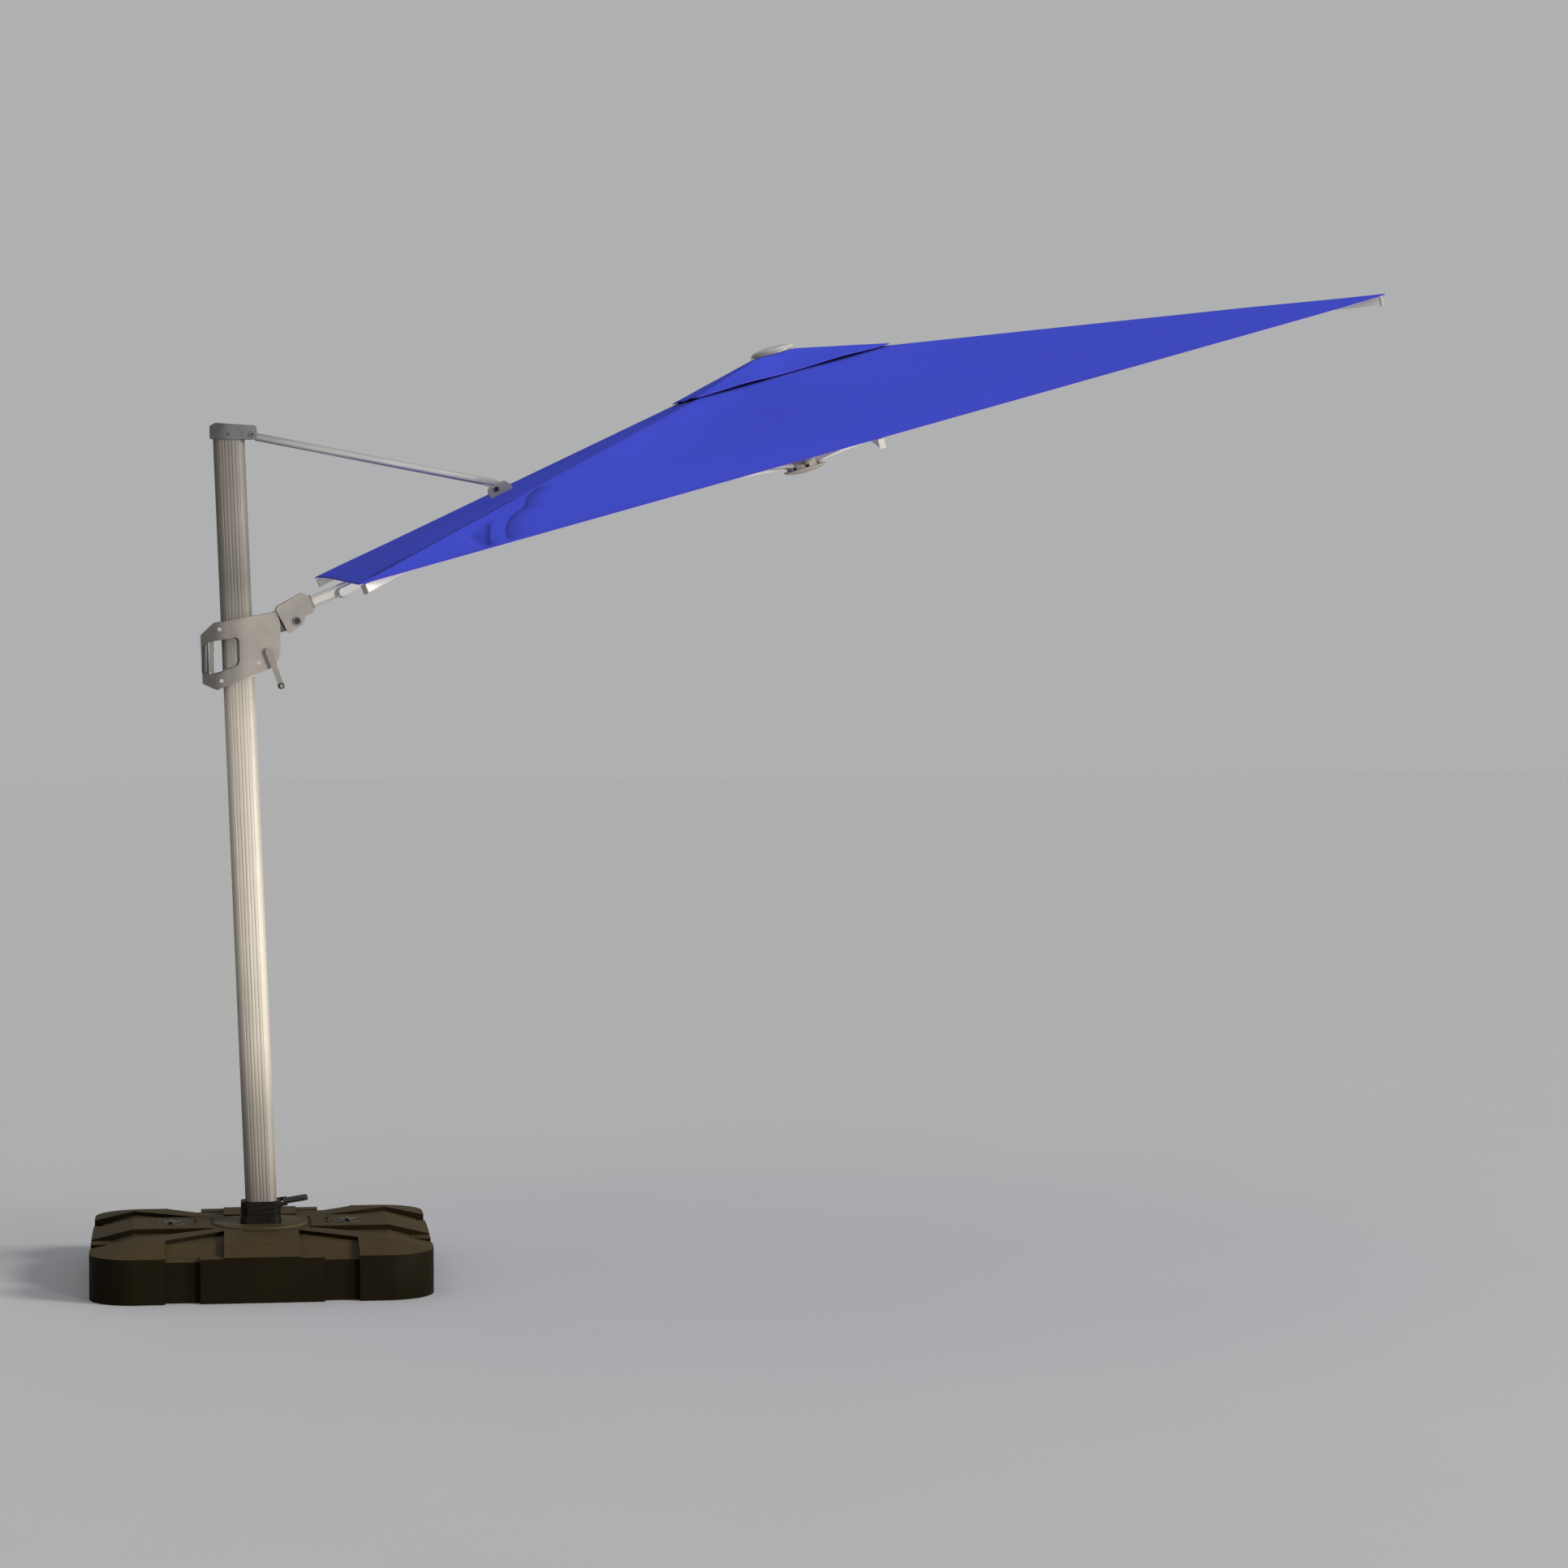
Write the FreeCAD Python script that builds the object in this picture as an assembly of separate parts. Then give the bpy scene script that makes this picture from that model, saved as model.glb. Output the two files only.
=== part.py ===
import FreeCAD, Part
import math
import os

# Cantilever parasol. Millimetres, +Z up. Origin: middle of the base's underside.
# The arm reaches along +X; the near side of the canopy is -Y.
V = FreeCAD.Vector
os.makedirs("parts", exist_ok=True)

# ---------------------------------------------------------------- driving dimensions
# base
BASE_HALF = 514.0          # half of the square base
BASE_R = 140.0             # plan corner radius
BASE_SIDE_H = 136.0        # height of the upright side
BASE_TOP = 163.0           # height of the flat top
BASE_FLAT_X = 393.0        # half width of the flat top
BASE_FLAT_Y = 323.0        # half depth of the flat top
GROOVE = 12.0              # depth of the valleys in the top
RECESS = 25.0              # depth of the side recesses
BLOCK_IN = 288.0           # corner block starts here
BLOCK_MID = 184.0          # half width of the middle block
PANEL_HALF = 113.0         # half width of the middle top panel
DISC_R = 145.0             # round centre plate
CAP_X = 270.0              # filler caps
CAP_R = 47.0
BASE_TURN = -1.0           # the base stands turned by this much under the mast
# mast
LEAN = 2.06                # degrees, mast leans back
MAST_X = 10.1              # mast axis at floor level
MAST_W, MAST_D, MAST_T = 96.0, 60.0, 3.0
MAST_Z0, MAST_Z1 = 186.0, 2592.0
# slider, pivots (X, Z)
PIV_A = (-13.9, 2586.7)    # stay to mast cap
PIV_B = (120.1, 2018.4)    # arm to slider
PIV_C = (734.4, 2422.8)    # stay to arm
PLATE_Y0, PLATE_Y1 = 37.0, 42.0
CHEEK_Y0, CHEEK_Y1 = 44.0, 49.0
BOLT_R = 8.0
RUN = 0.05                 # radial running clearance
# arm
ARM_SLOPE = 22.7
ARM_H, ARM_W = 36.0, 40.0
ARM_P = (157.9, 2072.6)    # a point on the arm axis
ARM_X0, ARM_X1 = 150.0, 1618.0
# canopy frame
CAN_C = (1680.3, 0.0, 2550.9)
CAN_TILT = 15.762
CAN_HALF = 1500.0
CAN_RISE = 0.1953          # rise per unit towards the middle
CAN_T = 1.2
VENT_HALF = 307.0
VENT_LOW, VENT_HIGH = 240.0, 303.0
HOLE_HALF = 150.0
# ribs
RIB_H, RIB_W, RIB_T = 27.0, 16.0, 1.8
HUB_R = 55.0
MID_SLOPE, COR_SLOPE = 11.32, 8.05
MID_PT, COR_PT = 266.3, 269.0
MID_L, COR_L = 1000.0, 990.0
K_OFF = 22.0
RUN_R, RUN_T = 50.0, -45.0
MID_LEN, COR_LEN = 1471.0, 2069.0


# ---------------------------------------------------------------- helpers
def fuse(shapes):
    s = shapes[0]
    if len(shapes) > 1:
        s = s.multiFuse(shapes[1:])
    return s.removeSplitter()


def cut(a, *tools):
    for t in tools:
        a = a.cut(t)
    return a


def box(x0, x1, y0, y1, z0, z1):
    return Part.makeBox(x1 - x0, y1 - y0, z1 - z0, V(x0, y0, z0))


def cyl(r, h, p, d=V(0, 0, 1)):
    return Part.makeCylinder(r, h, p, d)


def wire(points):
    return Part.makePolygon([V(*p) for p in points] + [V(*points[0])])


def prism_xz(points, y0, y1):
    """Polygon in X, Z pulled from y0 to y1."""
    f = Part.Face(wire([(x, y0, z) for x, z in points]))
    return f.extrude(V(0, y1 - y0, 0))


def round_poly(points, radii):
    """Closed polygon in a plane (2-D points) with rounded corners; returns edges as 2-D lines/arcs in X, Z."""
    n = len(points)
    segs = []
    corner = []
    for i in range(n):
        p = V(points[i][0], 0, points[i][1])
        a = V(points[i - 1][0], 0, points[i - 1][1]) - p
        b = V(points[(i + 1) % n][0], 0, points[(i + 1) % n][1]) - p
        r = radii[i] if isinstance(radii, (list, tuple)) else radii
        ang = a.getAngle(b)
        if r <= 0 or ang > 3.1:
            corner.append((p, p, None))
            continue
        t = min(r / math.tan(ang / 2), 0.46 * a.Length, 0.46 * b.Length)
        r = t * math.tan(ang / 2)
        an, bn = V(a), V(b)
        an.normalize()
        bn.normalize()
        mid = an + bn
        mid.normalize()
        c = p + mid * (r / math.sin(ang / 2))
        corner.append((p + an * t, p + bn * t, c - mid * r))
    edges = []
    for i in range(n):
        s, e, m = corner[i]
        if m is not None:
            edges.append(Part.Arc(s, m, e).toShape())
        nxt = corner[(i + 1) % n][0]
        if (nxt - e).Length > 1e-6:
            edges.append(Part.LineSegment(e, nxt).toShape())
    return Part.Wire(edges)


def plate_xz(points, radii, y0, y1):
    w = round_poly(points, radii)
    w.translate(V(0, y0, 0))
    return Part.Face(w).extrude(V(0, y1 - y0, 0))


def both(shape):
    """The shape and its mirror image about the X-Z plane."""
    return [shape, shape.mirror(V(0, 0, 0), V(0, 1, 0))]


def rrect(hx, hy, r, z):
    """Rounded rectangle wire, 8 edges."""
    pts = []
    e = []
    r = min(r, hx - 0.1, hy - 0.1)
    c = [(hx - r, hy - r, 0), (-(hx - r), hy - r, 90), (-(hx - r), -(hy - r), 180), (hx - r, -(hy - r), 270)]
    for cx, cy, a in c:
        q = [V(cx + r * math.cos(math.radians(a + k)), cy + r * math.sin(math.radians(a + k)), z) for k in (0, 45, 90)]
        pts.append(q)
    for i in range(4):
        e.append(Part.Arc(*pts[i]).toShape())
        e.append(Part.LineSegment(pts[i][2], pts[(i + 1) % 4][0]).toShape())
    return Part.Wire(e)


def rprism(hx, hy, r, z0, z1):
    return Part.Face(rrect(hx, hy, r, z0)).extrude(V(0, 0, z1 - z0))


def loft(w0, w1):
    return Part.makeLoft([w0, w1], True, True)


def on_mast(s):
    """From the mast's own frame (axis = Z) to its leaning place."""
    s = s.copy()
    s.translate(V(MAST_X, 0, 0))
    s.rotate(V(MAST_X, 0, 0), V(0, 1, 0), -LEAN)
    return s


def on_canopy(s):
    """From the canopy's frame (u, v, n) to its tilted place."""
    s = s.copy()
    s.rotate(V(0, 0, 0), V(0, 1, 0), -CAN_TILT)
    s.translate(V(*CAN_C))
    return s


def on_arm(s):
    """From the arm's frame (x along the arm from ARM_P, z up) to its place."""
    s = s.copy()
    s.rotate(V(0, 0, 0), V(0, 1, 0), -ARM_SLOPE)
    s.translate(V(ARM_P[0], 0, ARM_P[1]))
    return s


def on_base(s):
    """Turns a piece of the base to the way the base stands."""
    s = s.copy()
    s.rotate(V(0, 0, 0), V(0, 0, 1), BASE_TURN)
    return s


nodes = {}


def put(name, shape):
    if isinstance(shape, (list, tuple)):
        solids = []
        for s in shape:
            solids += s.Solids
        shape = Part.makeCompound(solids) if len(solids) > 1 else solids[0]
    elif len(shape.Solids) > 1:
        shape = Part.makeCompound(shape.Solids)
    elif len(shape.Solids) == 1:
        shape = shape.Solids[0]
    nodes[name] = shape
    shape.exportStep("parts/%s.step" % name)
    print(name, len(shape.Solids), "solids", round(shape.Volume / 1000.0, 1), "cm3", "valid" if shape.isValid() else "INVALID")


# ---------------------------------------------------------------- base
def base_solid():
    upper = fuse([rprism(BASE_HALF, BASE_HALF, BASE_R, 0, BASE_SIDE_H),
                  loft(rrect(BASE_HALF, BASE_HALF, BASE_R, BASE_SIDE_H), rrect(BASE_FLAT_X, BASE_FLAT_Y, 50, BASE_TOP))])
    low = BASE_HALF - RECESS
    valley = fuse([rprism(low, low, BASE_R - RECESS + 10, 0, BASE_SIDE_H - 14),
                   loft(rrect(low, low, BASE_R - RECESS + 10, BASE_SIDE_H - 14),
                        rrect(BASE_FLAT_X - 6, BASE_FLAT_Y - 6, 50, BASE_TOP - GROOVE))])
    far = BASE_HALF + 50
    masks = []
    for sx in (1, -1):
        for sy in (1, -1):
            pts = [(BLOCK_IN, far), (BLOCK_IN, BASE_FLAT_Y), (PANEL_HALF + 2, 160), (60, 60), (160, PANEL_HALF + 2),
                   (BASE_FLAT_X, BLOCK_IN), (far, BLOCK_IN), (far, far)]
            masks.append(Part.Face(wire([(sx * x, sy * y, -1) for x, y in pts])).extrude(V(0, 0, 300)))
    masks.append(cyl(178, 300, V(0, 0, -1)))
    upper_c = upper.common(fuse(masks))
    # the four middle panels, a little proud of the flat top, running down the slope to the side
    panels = []
    for k in range(4):
        fx = BASE_FLAT_Y - 26 if k % 2 == 0 else BASE_FLAT_X - 4
        prof = [(153, BASE_TOP - 20), (153, BASE_TOP + 4), (fx, BASE_TOP + 4), (BASE_HALF, BASE_SIDE_H + 1), (BASE_HALF, 0), (BASE_HALF - 60, 0)]
        p = Part.Face(wire([(-PANEL_HALF, y, z) for y, z in prof])).extrude(V(2 * PANEL_HALF, 0, 0))
        b = box(-BLOCK_MID, BLOCK_MID, BASE_HALF - 60, BASE_HALF, 0, BASE_SIDE_H - 3)
        # shoulder top falls slightly inwards
        q = fuse([p, b])
        # shallow rectangular slot near the inner end
        slot = box(-57, 57, 196, 206, BASE_TOP + 1.5, BASE_TOP + 10)
        q = q.cut(slot)
        q.rotate(V(0, 0, 0), V(0, 0, 1), 180 + 90 * k)
        panels.append(q)
    body = fuse([valley, upper_c] + panels)
    return body


base = base_solid()
# round seats for the filler caps and the centre plate
for sx in (1, -1):
    base = base.cut(cyl(CAP_R + 3, 40, V(sx * CAP_X, 0, BASE_TOP + 4 - 7)))
    base = base.cut(cyl(30.5, 80, V(sx * CAP_X, 0, BASE_TOP - 60)))
base = base.cut(cyl(DISC_R + 1, 40, V(0, 0, BASE_TOP - 8)))
# tank space for the water
cav = fuse([rprism(BASE_HALF - RECESS - 10, BASE_HALF - RECESS - 10, BASE_R - 30, 8, BASE_SIDE_H - 24),
            rprism(BASE_FLAT_X - 40, BASE_FLAT_Y - 40, 60, BASE_SIDE_H - 24, BASE_SIDE_H - 2)])
cav = cav.cut(cyl(DISC_R - 40, 300, V(0, 0, -1)))
for sx in (1, -1):
    cav = cav.cut(cyl(40, 100, V(sx * CAP_X, 0, BASE_SIDE_H - 40)))
put("base_tank", on_base(base.cut(cav)))
put("water_fill", on_base(cav))

# centre plate with the swivel spigot
plate = fuse([cyl(DISC_R, 12, V(0, 0, BASE_TOP - 8)), cyl(25, 22, V(0, 0, BASE_TOP + 4))])
ring = cyl(DISC_R - 6, 2, V(0, 0, BASE_TOP + 3)).cut(cyl(DISC_R - 9, 2, V(0, 0, BASE_TOP + 3)))
plate = plate.cut(ring)
put("centre_plate", on_base(plate))
# filler caps: dished disc, cross grip, threaded plug
for sx, name in ((-1, "filler_cap_left"), (1, "filler_cap_right")):
    z = BASE_TOP - 2.5
    c = fuse([cyl(CAP_R, 4, V(0, 0, z)), cyl(CAP_R, 3, V(0, 0, z + 4)).cut(cyl(CAP_R - 5, 3, V(0, 0, z + 4))),
              cyl(30, 26, V(0, 0, z - 26)), box(-30, 30, -5, 5, z + 3, z + 12), box(-5, 5, -30, 30, z + 3, z + 12), cyl(11, 9.5, V(0, 0, z + 3))])
    c.rotate(V(0, 0, 0), V(0, 0, 1), 12)
    c.translate(V(sx * CAP_X, 0, 0))
    put(name, on_base(c))

# ---------------------------------------------------------------- mast and foot
def mast_outline(grow, flutes, z0, z1):
    s = rprism(MAST_W / 2 + grow, MAST_D / 2 + grow, MAST_D / 2 - 4 + grow, z0, z1)
    if flutes:
        for y in (1, -1):
            for x in (-26, -15.6, -5.2, 5.2, 15.6, 26):
                s = s.cut(cyl(3.2, z1 - z0 + 2, V(x, y * (MAST_D / 2 + grow + 1.9), z0 - 1)))
        for x in (1, -1):
            for y in (-7, 7):
                yy = y
                s = s.cut(cyl(2.6, z1 - z0 + 2, V(x * (MAST_W / 2 + 1.3), yy, z0 - 1)))
    return s


mast = mast_outline(0, True, MAST_Z0, MAST_Z1).cut(mast_outline(-MAST_T, False, MAST_Z0, MAST_Z1))
put("mast_tube", on_mast(mast))

FOOT_Z0, FOOT_Z1 = BASE_TOP + 4.2, 232.0
foot = fuse([loft(rrect(63, 56, 22, FOOT_Z0), rrect(60, 50, 22, FOOT_Z0 + 26)),
             rprism(58, 46, 20, FOOT_Z0 + 26, FOOT_Z0 + 30),
             loft(rrect(61, 49, 22, FOOT_Z0 + 30), rrect(60, 42, 22, FOOT_Z1))])
foot = fuse([foot, box(40, 63, -20, 20, 208, FOOT_Z1)])
pocket = on_mast(mast_outline(0.3, False, MAST_Z0, 400))
foot = foot.cut(pocket).cut(cyl(25 + RUN, 40, V(0, 0, FOOT_Z0 - 1)).common(box(-60, 60, -60, 60, 0, 190)))
for sy in (1, -1):
    foot = foot.cut(box(-16, 26, sy * 56 - 5, sy * 56 + 5, FOOT_Z0 + 5, FOOT_Z0 + 21))
pins = [cyl(5, 8, V(-36, sy * 47.0 - (0 if sy > 0 else 8), 212), V(0, 1, 0)) for sy in (1, -1)]
foot = foot.fuse(fuse([cyl(5, 62 - 36, V(-36, 36, 212), V(0, 1, 0)), cyl(5, 62 - 36, V(-36, -62, 212), V(0, 1, 0))]).cut(pocket)).removeSplitter()
put("mast_foot", foot)

# foot pedal: two side arms and a treaded tongue, raised 8.5 degrees
def pedal():
    arm = [fuse([cyl(9, 6, V(-36, sy * 51 if sy > 0 else -57, 212), V(0, 1, 0)),
                 box(-36, 78, 51 if sy > 0 else -57, 57 if sy > 0 else -51, 206, 218)]) for sy in (1, -1)]
    cross = box(70, 82, -57, 57, 206, 218)
    tongue = rprism(38, 46, 14, 210, 216)
    tongue.translate(V(108, 0, 0))
    ribs_ = [box(92 + 12 * i, 96 + 12 * i, -34, 34, 215.5, 217.5) for i in range(4)]
    s = fuse(arm + [cross, tongue] + ribs_)
    s = s.cut(cyl(5 + RUN, 200, V(-36, -100, 212), V(0, 1, 0)))
    s.rotate(V(-36, 0, 212), V(0, 1, 0), -8.5)
    return s


put("foot_pedal", pedal())

# cap: polygon side shape, pocket for the mast, two ears for the stay
cap_pts = [(-140.2, 2606), (-140.2, 2613.3), (-123, 2622), (1.8, 2614.4), (1.8, 2577), (-3.2, 2572.5), (-37.4, 2572.5), (-137, 2573.4), (-140.2, 2577)]
cap = plate_xz(cap_pts, [0, 3, 3, 11, 4, 3, 0, 4, 3], -35, 35)
cap = cap.cut(on_mast(mast_outline(0.3, False, 2400, MAST_Z1 + 0.3)))
cap = cap.cut(box(-32, 60, -17, 17, 2500, 2640))                                 # gap for the stay
cap = cap.cut(cyl(4.2, 200, V(PIV_A[0], -100, PIV_A[1]), V(0, 1, 0)))
put("mast_cap", cap)
screws = [cyl(4.2, 70, V(PIV_A[0], -35, PIV_A[1]), V(0, 1, 0))]
pin_heads = []
for sy in (1, -1):
    y0 = 35 if sy > 0 else -38.5
    h = cyl(8.0, 3.5, V(PIV_A[0], y0, PIV_A[1]), V(0, 1, 0))
    h = h.cut(cyl(4.0, 1.8, V(PIV_A[0], 36.8 if sy > 0 else -38.6, PIV_A[1]), V(0, 1, 0)))
    pin_heads.append(h)
    s = cyl(4.5, 2.0, V(-83.9, 35 if sy > 0 else -37, 2587.6), V(0, 1, 0))
    s = s.cut(box(-90, -78, 36 if sy > 0 else -38, 38 if sy > 0 else -36, 2587.0, 2588.2))
    screws.append(s)
put("mast_cap_bolts", [fuse([screws[0]] + pin_heads)] + screws[1:])

# ---------------------------------------------------------------- slider
SL = [(-171.5, 1976), (-132, 2011.8), (42.9, 2043.7), (59.5, 2050.5), (69.8, 2007.7), (69.5, 1918.4), (56.7, 1886.2), (39.4, 1873.8), (-34.7, 1844.3), (-98.9, 1817.3), (-123.5, 1807.5), (-165.2, 1827.4)]
WIN = [(-149.6, 1953.7), (-63.4, 1969.6), (-56.1, 1960.9), (-54.1, 1896.5), (-59.1, 1884.1), (-103.5, 1864.4), (-145.3, 1852.2)]
side = plate_xz(SL, [10, 5, 3, 6, 26, 26, 12, 8, 0, 0, 5, 5], PLATE_Y0, PLATE_Y1)
side = side.cut(plate_xz(WIN, [6, 6, 6, 6, 8, 0, 6], PLATE_Y0 - 1, PLATE_Y1 + 1))
# raised lip round the window
lip_o = plate_xz([(-153.5, 1958.0), (-62.0, 1974.6), (-51.6, 1962.5), (-49.4, 1896), (-55.0, 1880.6), (-102, 1860), (-148.9, 1847.0)], [9, 9, 9, 9, 10, 0, 9], PLATE_Y1, PLATE_Y1 + 0.8)
lip = lip_o.cut(plate_xz(WIN, [6, 6, 6, 6, 8, 0, 6], PLATE_Y1 - 1, PLATE_Y1 + 3))
# soft swelling where the palm closes round the plate's rear edge
SWELL_R, SWELL_Y = 10.0, 36.0
swell = fuse([cyl(SWELL_R, 76, V(-159.0, SWELL_Y, 1864)), Part.makeSphere(SWELL_R, V(-159.0, SWELL_Y, 1864)), Part.makeSphere(SWELL_R, V(-159.0, SWELL_Y, 1940))])
swell = swell.common(box(-170, -149.6, PLATE_Y0, 60, 1840, 1965))
side = side.fuse(swell)
SCREWS = [(-114.9, 1993.2), (-109.8, 1835.9), (3.8, 1891.3)]
side_f = side.fuse(lip).removeSplitter()
for x, z in SCREWS:
    side_f = side_f.cut(cyl(5.0, 20, V(x, 30, z), V(0, 1, 0)))
side_f = side_f.cut(cyl(9.0, 20, V(33.3, 30, 1926.4), V(0, 1, 0)))
put("slider_plate_far", side_f)
near = side.fuse(lip).removeSplitter().mirror(V(0, 0, 0), V(0, 1, 0))
for x, z in SCREWS:
    near = near.cut(cyl(5.0, 20, V(x, -50, z), V(0, 1, 0)))
near = near.cut(cyl(9.0 + RUN, 20, V(33.3, -50, 1926.4), V(0, 1, 0)))
put("slider_plate_near", near)
scr = []
for x, z in SCREWS:
    for sy in (1, -1):
        s = cyl(5.0, 5.4, V(x, PLATE_Y0 if sy > 0 else -PLATE_Y0 - 5.4, z), V(0, 1, 0))
        s = s.cut(cyl(2.2, 2.5, V(x, PLATE_Y0 + 3.4 if sy > 0 else -PLATE_Y0 - 5.9, z), V(0, 1, 0)))
        scr.append(s)
scr.append(cyl(9.0, 5.0, V(33.3, PLATE_Y0, 1926.4), V(0, 1, 0)))

# carriage round the mast: sleeve with glide pads, filler block towards the arm, two lugs with the arm pivot
core = [(-108.5, 1992), (-60, 2010), (46, 2030), (60, 2010), (62, 1920), (50, 1894), (30, 1880), (-34, 1854), (-98, 1828)]
carriage = plate_xz(core, [4, 4, 8, 10, 16, 8, 6, 0, 4], -PLATE_Y0, PLATE_Y0)
carriage = carriage.cut(on_mast(mast_outline(0.9, False, 1500, 2400)))
# hand opening runs through beside the mast
carriage = carriage.cut(box(-149.6, -52.0, -60, 60, 1860, 1972))
# pocket for the drum that the crank turns
carriage = carriage.cut(cyl(15, 40, V(33.3, -45, 1926.4), V(0, 1, 0)).common(box(-60, 120, -45, -8, 1800, 2000)))
lug_pts = [(40, 2024), (52, 2046), (58, 2050), (120.1 + 15, 2018.4 + 12), (120.1 + 19, 2018.4 - 4), (120.1 + 4, 2018.4 - 19), (66, 1982), (45, 1985)]
lugs = [s for s in both(plate_xz(lug_pts, [2, 8, 4, 14, 14, 14, 6, 2], 26, 36.5))]
lugs = [l.cut(carriage) for l in lugs]
carriage = fuse([carriage] + lugs)
carriage = carriage.cut(cyl(BOLT_R, 200, V(PIV_B[0], -100, PIV_B[1]), V(0, 1, 0)))
put("slider_carriage", carriage)
# glide pads between carriage and mast
pads = []
for z0 in (1848, 1975):
    p = mast_outline(0.85, False, z0, z0 + 24).cut(mast_outline(0.08, False, z0 - 1, z0 + 25))
    pads.append(on_mast(p))
put("glide_pads", [p.common(box(-400, 400, -100, 100, 0, 3000)) for p in pads])
# rear spine and D handle
spine = plate_xz([(-174.0, 1974), (-134, 2012), (-128, 2006.5), (-163, 1974), (-158.5, 1829.5), (-124, 1812.5), (-128, 1808.5), (-168, 1826)], [8, 3, 2, 8, 6, 2, 3, 6], -PLATE_Y0, PLATE_Y0)
put("slider_spine", spine)
grip = rprism(6.5, 30, 5, 1838, 1976)
grip.translate(V(-158.5, 0, 0))
grip = grip.cut(spine)
grip = fuse([grip])
grip = [s for s in grip.Solids][0] if len(grip.Solids) == 1 else max(grip.Solids, key=lambda s: s.Volume)
put("grip_bar", grip)
# squeeze lever, hinged near its top
LEVER_PIN = (-138.0, 1964.0)
lev = plate_xz([(-144.8, 1970), (-131.5, 1971), (-132.6, 1940), (-130.4, 1934.5), (-130.4, 1929.5), (-132.6, 1924), (-132.0, 1868), (-128.5, 1856), (-137, 1853), (-143.6, 1864)], [5, 5, 3, 2, 2, 3, 4, 3, 6, 5], -22, 22)
lev = lev.cut(cyl(3.0 + RUN, 60, V(LEVER_PIN[0], -30, LEVER_PIN[1]), V(0, 1, 0)))
put("release_lever", lev)
scr.append(cyl(3.0, 2 * PLATE_Y0, V(LEVER_PIN[0], -PLATE_Y0, LEVER_PIN[1]), V(0, 1, 0)))
put("slider_screws", scr)
# crank: hub, arm and knob
hubc = fuse([cyl(9.0, 22, V(33.3, -56, 1926.4), V(0, 1, 0)), cyl(9.6, 12, V(33.3, -56, 1926.4), V(0, 1, 0)),
             cyl(13.0, 24, V(33.3, -34, 1926.4), V(0, 1, 0))])
dx, dz = 70.8 - 33.3, 1821.0 - 1926.4
L = math.hypot(dx, dz)
armc = Part.Face(wire([(0, -10.2, 0), (L, -8.0, 0), (L, 8.0, 0), (0, 10.2, 0)])).extrude(V(0, 0, 7))
armc = fuse([armc, cyl(10.2, 7, V(0, 0, 0)), cyl(11.3, 7, V(L, 0, 0))])
armc.rotate(V(0, 0, 0), V(1, 0, 0), 90)
armc.rotate(V(0, 0, 0), V(0, 1, 0), -math.degrees(math.atan2(dz, dx)))
armc.translate(V(33.3, -55.5, 1926.4))
crank = fuse([hubc, armc])
spindle = cyl(3.0, 34, V(70.8, -95.5, 1821.0), V(0, 1, 0))
crank = fuse([crank, spindle, cyl(5.0, 2.0, V(70.8, -96.0, 1821.0), V(0, 1, 0))])
put("crank", crank)
kp = [(3.0 + RUN, 0), (7.0, 0), (8.2, 4), (7.0, 12), (7.8, 20), (8.6, 26), (7.2, 30), (3.0 + RUN, 30)]
kw = Part.Face(wire([(r, 0, z) for r, z in kp])).revolve(V(0, 0, 0), V(0, 0, 1), 360)
kw.rotate(V(0, 0, 0), V(1, 0, 0), 90)          # axis now along -Y
kw.translate(V(70.8, -63.3, 1821.0))
put("crank_knob", kw)
# arm pivot bolt
bolt = fuse([cyl(BOLT_R, 2 * CHEEK_Y1 + 0.6, V(PIV_B[0], -CHEEK_Y1 - 0.3, PIV_B[1]), V(0, 1, 0)),
             cyl(12.5, 5, V(PIV_B[0], -CHEEK_Y1 - 5.3, PIV_B[1]), V(0, 1, 0)),
             cyl(12.5, 5, V(PIV_B[0], CHEEK_Y1 + 0.3, PIV_B[1]), V(0, 1, 0))])
bolt = bolt.cut(cyl(8.2, 5, V(PIV_B[0], -CHEEK_Y1 - 6.0, PIV_B[1]), V(0, 1, 0))).cut(cyl(8.2, 5, V(PIV_B[0], CHEEK_Y1 + 1.0, PIV_B[1]), V(0, 1, 0)))
put("arm_pivot_bolt", bolt)

# ---------------------------------------------------------------- arm head
HEAD = [(55.3, 2052.3), (60.6, 2062.8), (137.1, 2105.1), (152.6, 2095.7), (171.5, 2059.1), (169.7, 2043.5), (147.1, 2033.1), (144.5, 2024.6), (138.3, 2008.5), (98.3, 1980.7), (91.5, 1984.2), (81.2, 2006.9)]
cheek = plate_xz(HEAD, [3, 4, 6, 4, 6, 5, 3, 8, 14, 6, 4, 2], CHEEK_Y0, CHEEK_Y1)
cheeks = both(cheek)
web = plate_xz([(94, 2081.3), (137.1, 2105.1), (152.6, 2095.7), (171.5, 2059.1), (169.7, 2043.5), (147.1, 2033.1), (143.5, 2044.5), (118, 2062)], [5, 6, 4, 6, 5, 3, 3, 20], -CHEEK_Y0, CHEEK_Y0)
head = fuse(cheeks + [web])


def arm_section(grow, x0, x1):
    """Rounded box section running along the arm's own x."""
    w = rrect(ARM_H / 2 + grow, ARM_W / 2 + grow, 12 + grow, 0)
    s = Part.Face(w).extrude(V(0, 0, x1 - x0))
    s.rotate(V(0, 0, 0), V(0, 1, 0), 90)
    s.translate(V(x0, 0, 0))
    return s


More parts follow.
